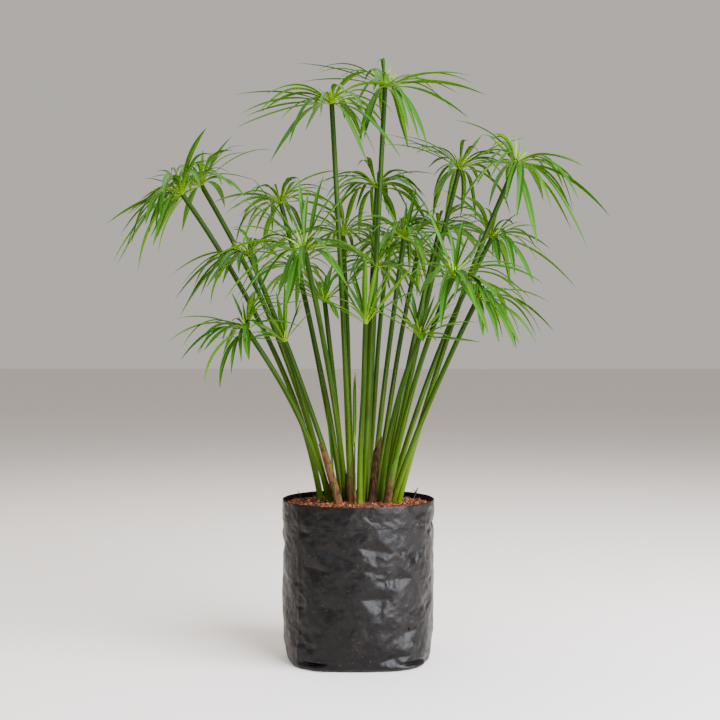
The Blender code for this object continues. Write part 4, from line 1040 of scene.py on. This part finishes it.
bract_skin = bract_material()
blade_outline = bract_section()
ray_corners = [(math.cos(2 * math.pi * k / RAY_SIDES), math.sin(2 * math.pi * k / RAY_SIDES))
               for k in range(RAY_SIDES)]
ray_outline = section_object("ray_section", ray_corners, [(0.3, 1.0, 0)] * RAY_SIDES)
blade_sweep = sweep_tree("swept_bract", BRACT_TAPER)
ray_sweep = sweep_tree("swept_ray", RAY_TAPER)
for number in numbers:
    luck = random.Random(int(number))
    path = culm_curve(number)
    stem_axis = bezier_direction(*path, 1.0)
    knob = path[2] + stem_axis * HUB_LIFT
    bracts = bracts_of(number)
    reach = max((tip - root).length for root, _, tip, _, _ in bracts)
    steep = sum(bezier_direction(*bract[:3], 0.1).dot(stem_axis) for bract in bracts) / len(bracts)
    most_narrow = NARROW_YOUNG if steep > UPRIGHT else NARROW_OPEN
    bracts += bracts_between(bracts, knob, stem_axis, most_narrow, luck)
    blades = [blade_path(*bract, luck, ROLL, 0.0) for bract in bracts]
    tuft, rays = tuft_paths(knob, stem_axis, reach, steep > UPRIGHT, luck)
    hub = shell_mesh("hub", hub_rings(knob, stem_axis), *(knob + stem_axis * end for end in HUB_ENDS))
    hub.materials.append(bract_skin)
    count = len(hub.vertices)
    give_points(hub, along=[0.08] * count, tone=[0.5] * count, youth=[0.0] * count)
    parts = [grow(path_mesh("bracts", blades + tuft), blade_sweep, section=blade_outline, steps=BRACT_STEPS,
                  material=bract_skin), hub]
    if rays:
        parts.append(grow(path_mesh("rays", rays), ray_sweep, section=ray_outline, steps=RAY_STEPS,
                          material=bract_skin))
    whorl = joined_mesh("bract_whorl", parts)
    place_piece("bract_whorl_" + number, whorl, "bract", "whorl_" + number, sharp=32)

# The sheaths: papery sleeves, the remains of leaf sheaths, that grew round the foot of the older culms
# and still hug them. They are dry, brown and fibrous, and end in a slanting torn point.
SHEATH_SIDES = 22
SHEATH_RINGS = 18
SHEATH_TOP_OUT = 0.0036
SHEATH_PAPER = 0.0003
# How far the torn point slants up, how far it passes its solid's top, and how uneven it and the paper are
SHEATH_SLANT = 0.0085
SHEATH_POINT = 0.012
SHEATH_TEAR = (-0.0009, 0.0007)
SHEATH_WAVE = 0.0003
RIB_RISE = 0.00014
# Each sheath: radius at its foot, how pale it has dried, how green it still is, and where its point stands
SHEATH_LOOKS = {"01": (0.0044, 0.35, 0.35, 0.4), "10": (0.0055, 0.8, 0.1, -2.6),
                "12": (0.0052, 0.0, 0.0, 0.2), "15": (0.0050, 0.30, 0.9, -0.5)}


def sheath_shell(curve, first, last, foot_out, top_out, tone, green, point_at, seed):
    """A sleeve round the foot of a stem: ribbed, hugging it upward, ending in a slanting torn point."""
    chance = random.Random(seed)
    turns = [2 * math.pi * k / SHEATH_SIDES for k in range(SHEATH_SIDES)]
    tear = [SHEATH_SLANT * (math.cos(turn - point_at) - 0.8) + chance.uniform(*SHEATH_TEAR) for turn in turns]
    ribs = [chance.uniform(-1, 1) * RIB_RISE for _ in range(SHEATH_SIDES)]
    outside, inside = [], []
    for ring in range(SHEATH_RINGS):
        share = ring / (SHEATH_RINGS - 1)
        t = first + (last - first) * share
        middle, direction = bezier(*curve, t), bezier_direction(*curve, t)
        one = (Vector((1, 0, 0)) - direction * direction.x).normalized()
        two = direction.cross(one)
        rows = ([], [])
        for k, angle in enumerate(turns):
            out = one * math.cos(angle) + two * math.sin(angle)
            radius = foot_out + (top_out - foot_out) * share ** 0.8 + ribs[k]
            spot = Vector((math.cos(angle) * 2, math.sin(angle) * 2, share * 6 + seed))
            radius += noise.noise(spot) * SHEATH_WAVE
            lift = direction * (tear[k] * max(0.0, share - 0.3) / 0.7)
            rows[0].append(middle + out * radius + lift)
            rows[1].append(middle + out * (radius - SHEATH_PAPER) + lift)
        outside.append(rows[0])
        inside.append(rows[1])
    rings = outside + inside[::-1]
    count = len(rings)
    verts = [tuple(p) for ring in rings for p in ring]
    mesh = plain_mesh("sheath", verts, ring_faces(count, SHEATH_SIDES, closed=True))
    shares = [min(r, count - 1 - r) / (SHEATH_RINGS - 1) for r in range(count) for _ in range(SHEATH_SIDES)]
    give_points(mesh, along=shares, tone=[tone] * len(verts), green=[green] * len(verts))
    return mesh


def sheath_material():
    """Dried leaf sheath: papery brown with paler fibres and dark stains, still green towards its top."""
    made, tree, shader, place = start_material("leaf_sheath_dried", 0.75, 1.4, 0.15)
    along, tone, green = (add_node(tree, "ShaderNodeAttribute", attribute_name=label).outputs["Fac"]
                          for label in ("along", "tone", "green"))
    drawn = add_node(tree, "ShaderNodeMapping", {"Vector": place, "Scale": (1.0, 1.0, 0.12)}).outputs[0]
    fibres, stains = (
        add_node(tree, "ShaderNodeTexNoise", {"Vector": laid, "Scale": 1 / size, "Detail": 4.0}).outputs[0]
        for laid, size in ((drawn, 0.0012), (place, 0.006)))
    still_green = add_node(tree, "ShaderNodeMapRange", [along, 0.45, 0.85, 0.0, 1.0]).outputs[0]
    still_green = add_node(tree, "ShaderNodeMath", [still_green, green], operation="MULTIPLY").outputs[0]
    colour = shade("#241507")
    layers = [
        (tone, 0.0, 1.0, 0.0, 1.0, "#583a20"),
        (fibres, 0.45, 0.7, 0.0, 0.4, "#7a5a36"),
        (stains, 0.48, 0.66, 0.0, 0.7, "#1c0f06"),
        (still_green, 0.0, 1.0, 0.0, 1.0, "#30500a"),
        (along, 0.0, 0.25, 0.45, 0.0, "#5a2f1c")]
    for lead, low, high, least, most, tint in layers:
        share = add_node(tree, "ShaderNodeMapRange", [lead, low, high, least, most]).outputs[0]
        colour = add_node(tree, "ShaderNodeMix", {0: share, 6: colour, 7: shade(tint)},
                          data_type="RGBA").outputs[2]
    tree.links.new(colour, shader.inputs["Base Color"])
    bump = add_node(tree, "ShaderNodeBump", {"Strength": 0.7, "Distance": 0.0004, "Height": fibres})
    tree.links.new(bump.outputs[0], shader.inputs["Normal"])
    return made


sheath_skin = sheath_material()
for number, (foot_out, paleness, greenness, point_turn) in sorted(SHEATH_LOOKS.items()):
    stem_curve = culm_curve(number)
    rise = stem_curve[2].z - stem_curve[0].z
    first = (CULM_START - stem_curve[0].z) / rise
    last = (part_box("sheath_" + number)[1].z + SHEATH_POINT - stem_curve[0].z) / rise
    sleeve = sheath_shell(stem_curve, first, last, foot_out, SHEATH_TOP_OUT, paleness, greenness,
                          point_turn, 300 + int(number))
    sleeve.materials.append(sheath_skin)
    place_piece("leaf_sheath_" + number, sleeve, "sheath", "sheath_" + number, sharp=50)

# The new shoots: young culms still on their way up, a thin stem with its bracts closed round it in a
# pointed spear. One is taller and fuller, the other a thin spike. A green scale leaf wraps each foot.
# For each shoot: how many blades, how wide, and how far up it they part from the stem
SPEAR_BLADES = {"shoot_spear": (5, 0.0024, 0.50), "shoot_spike": (2, 0.0013, 0.40)}
SHOOT_TAPER = [(0.0, 0.55), (0.35, 1.0), (0.7, 0.8), (1.0, 0.03)]
# The stem's radius and the scale leaf's at foot and top, as shares of a blade's width
YOUNG_CULM_SHARE = 0.42
SCALE_LEAF_SHARES = (0.75, 0.46)
SPEAR_STEPS = 16
YOUNG_CULM_STEPS = 20
YOUNG_CULM_POINTS = 8
# The lowest ring of a shoot's solid has this many loose corners
FOOT_CORNERS = 12
shoot_sweep = sweep_tree("swept_shoot_blade", SHOOT_TAPER)


def shoot_paths(node, blades, width, open_from):
    """A shoot's stem, and the blades that close over its upper part."""
    corners = sorted((v.co.copy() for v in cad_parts[node].data.vertices), key=lambda c: c.z)
    foot = sum(corners[:FOOT_CORNERS], Vector()) / FOOT_CORNERS
    tip = corners[-1]
    direction = (tip - foot).normalized()
    one = direction.orthogonal().normalized()
    chance = random.Random(len(node))
    stem = [foot + (tip - foot) * (0.03 + 0.70 * k / (YOUNG_CULM_POINTS - 1))
            for k in range(YOUNG_CULM_POINTS)]
    closed = []
    for k in range(blades):
        turn = 2 * math.pi * k / blades
        out = Quaternion(direction, turn) @ one
        root = foot + (tip - foot) * (open_from + chance.uniform(-0.02, 0.03)) + out * 0.0009
        end = foot + (tip - foot) * (1.0 - 0.05 * k * 0.6) + out * chance.uniform(0.0004, 0.0012)
        bend = (root + end) / 2 + out * width * 0.40
        points = [bezier(root, bend, end, step / (BLADE_POINTS - 1)) for step in range(BLADE_POINTS)]
        sides = [direction.cross(out)] * BLADE_POINTS
        closed.append((points, sides, width * chance.uniform(0.9, 1.2), 0.0, 0.0))
    young_stem = (stem, [one] * YOUNG_CULM_POINTS, width * YOUNG_CULM_SHARE, 0.0, 0.0)
    return (foot, (foot + tip) / 2, tip), young_stem, closed


for node, (blades, width, open_from) in sorted(SPEAR_BLADES.items()):
    line, stem, closed = shoot_paths(node, blades, width, open_from)
    spear = grow(path_mesh("blades", closed), shoot_sweep, section=blade_outline, steps=SPEAR_STEPS,
                 material=bract_skin)
    place_piece("new_" + node, spear, "shoot", node, sharp=32)
    young_culm = grow(path_mesh("stem", [stem]), culm_sweep, section=culm_outline, steps=YOUNG_CULM_STEPS,
                      material=culm_skin)
    place_piece("young_culm_" + node, young_culm, "culm", sharp=60)
    foot_out, top_out = (width * share for share in SCALE_LEAF_SHARES)
    scale_leaf = sheath_shell(line, 0.02, 0.30, foot_out, top_out, 0.5, 0.8, 0.0, 41)
    scale_leaf.materials.append(sheath_skin)
    place_piece("scale_leaf_" + node, scale_leaf, "sheath", sharp=50)

# The outlines have been swept along every path, and aren't pieces themselves
for outline in (culm_outline, blade_outline, ray_outline):
    bpy.data.objects.remove(outline)

# The studio: a plain pale floor, even pale light all round, a large soft box to the right in front, fainter
# ones to the left and overhead, and the camera level with the middle of the plant, as far away as in the
# photograph.
FLOOR_REACH = 40
floor_corners = [(x * FLOOR_REACH, y * FLOOR_REACH, 0) for x, y in ((-1, -1), (1, -1), (1, 1), (-1, 1))]
floor_mesh = plain_mesh("floor", floor_corners, [(0, 1, 2, 3)])
# Matt paint, so that the floor is even and shows no glare
floor_paint, _, floor_shader, _ = start_material("matt_floor_paint", 0.85, 1.45)
floor_shader.inputs["Base Color"].default_value = shade("#efe8e1")
floor_mesh.materials.append(floor_paint)
floor = add_object("floor", floor_mesh)

world = bpy.data.worlds.new("studio")
world.use_nodes = True
backdrop = world.node_tree.nodes["Background"].inputs
backdrop["Color"].default_value = shade("#f6efe9")
backdrop["Strength"].default_value = 0.60
scene.world = world


def soft_box(name, place, aim, size, power, colour):
    """A rectangular studio light turned towards a spot."""
    light = bpy.data.lights.new(name, "AREA")
    light.shape = "RECTANGLE"
    light.size, light.size_y = size
    light.energy = power
    light.color = shade(colour)[:3]
    made = add_object(name, light)
    made.location = place
    made.rotation_euler = (Vector(aim) - Vector(place)).to_track_quat("-Z", "Y").to_euler()


soft_box("key", (1.13, -0.92, 0.85), (0, 0, 0.2), (1.6, 1.6), 165, "#f2f4ff")
soft_box("fill", (-0.80, -1.35, 1.00), (0, 0, 0.1), (1.6, 0.9), 13, "#dce8ff")
soft_box("top", (-0.3, 0.5, 1.9), (0, 0, 0.35), (1.6, 1.2), 34, "#fff8ec")

camera_data = bpy.data.cameras.new("camera")
camera_data.sensor_width = 36
camera_data.lens = 57.64
camera = add_object("camera", camera_data)
camera.location = (0.0019, -1.235, 0.316)
camera.rotation_euler = (math.radians(90), 0, 0)
scene.camera = camera
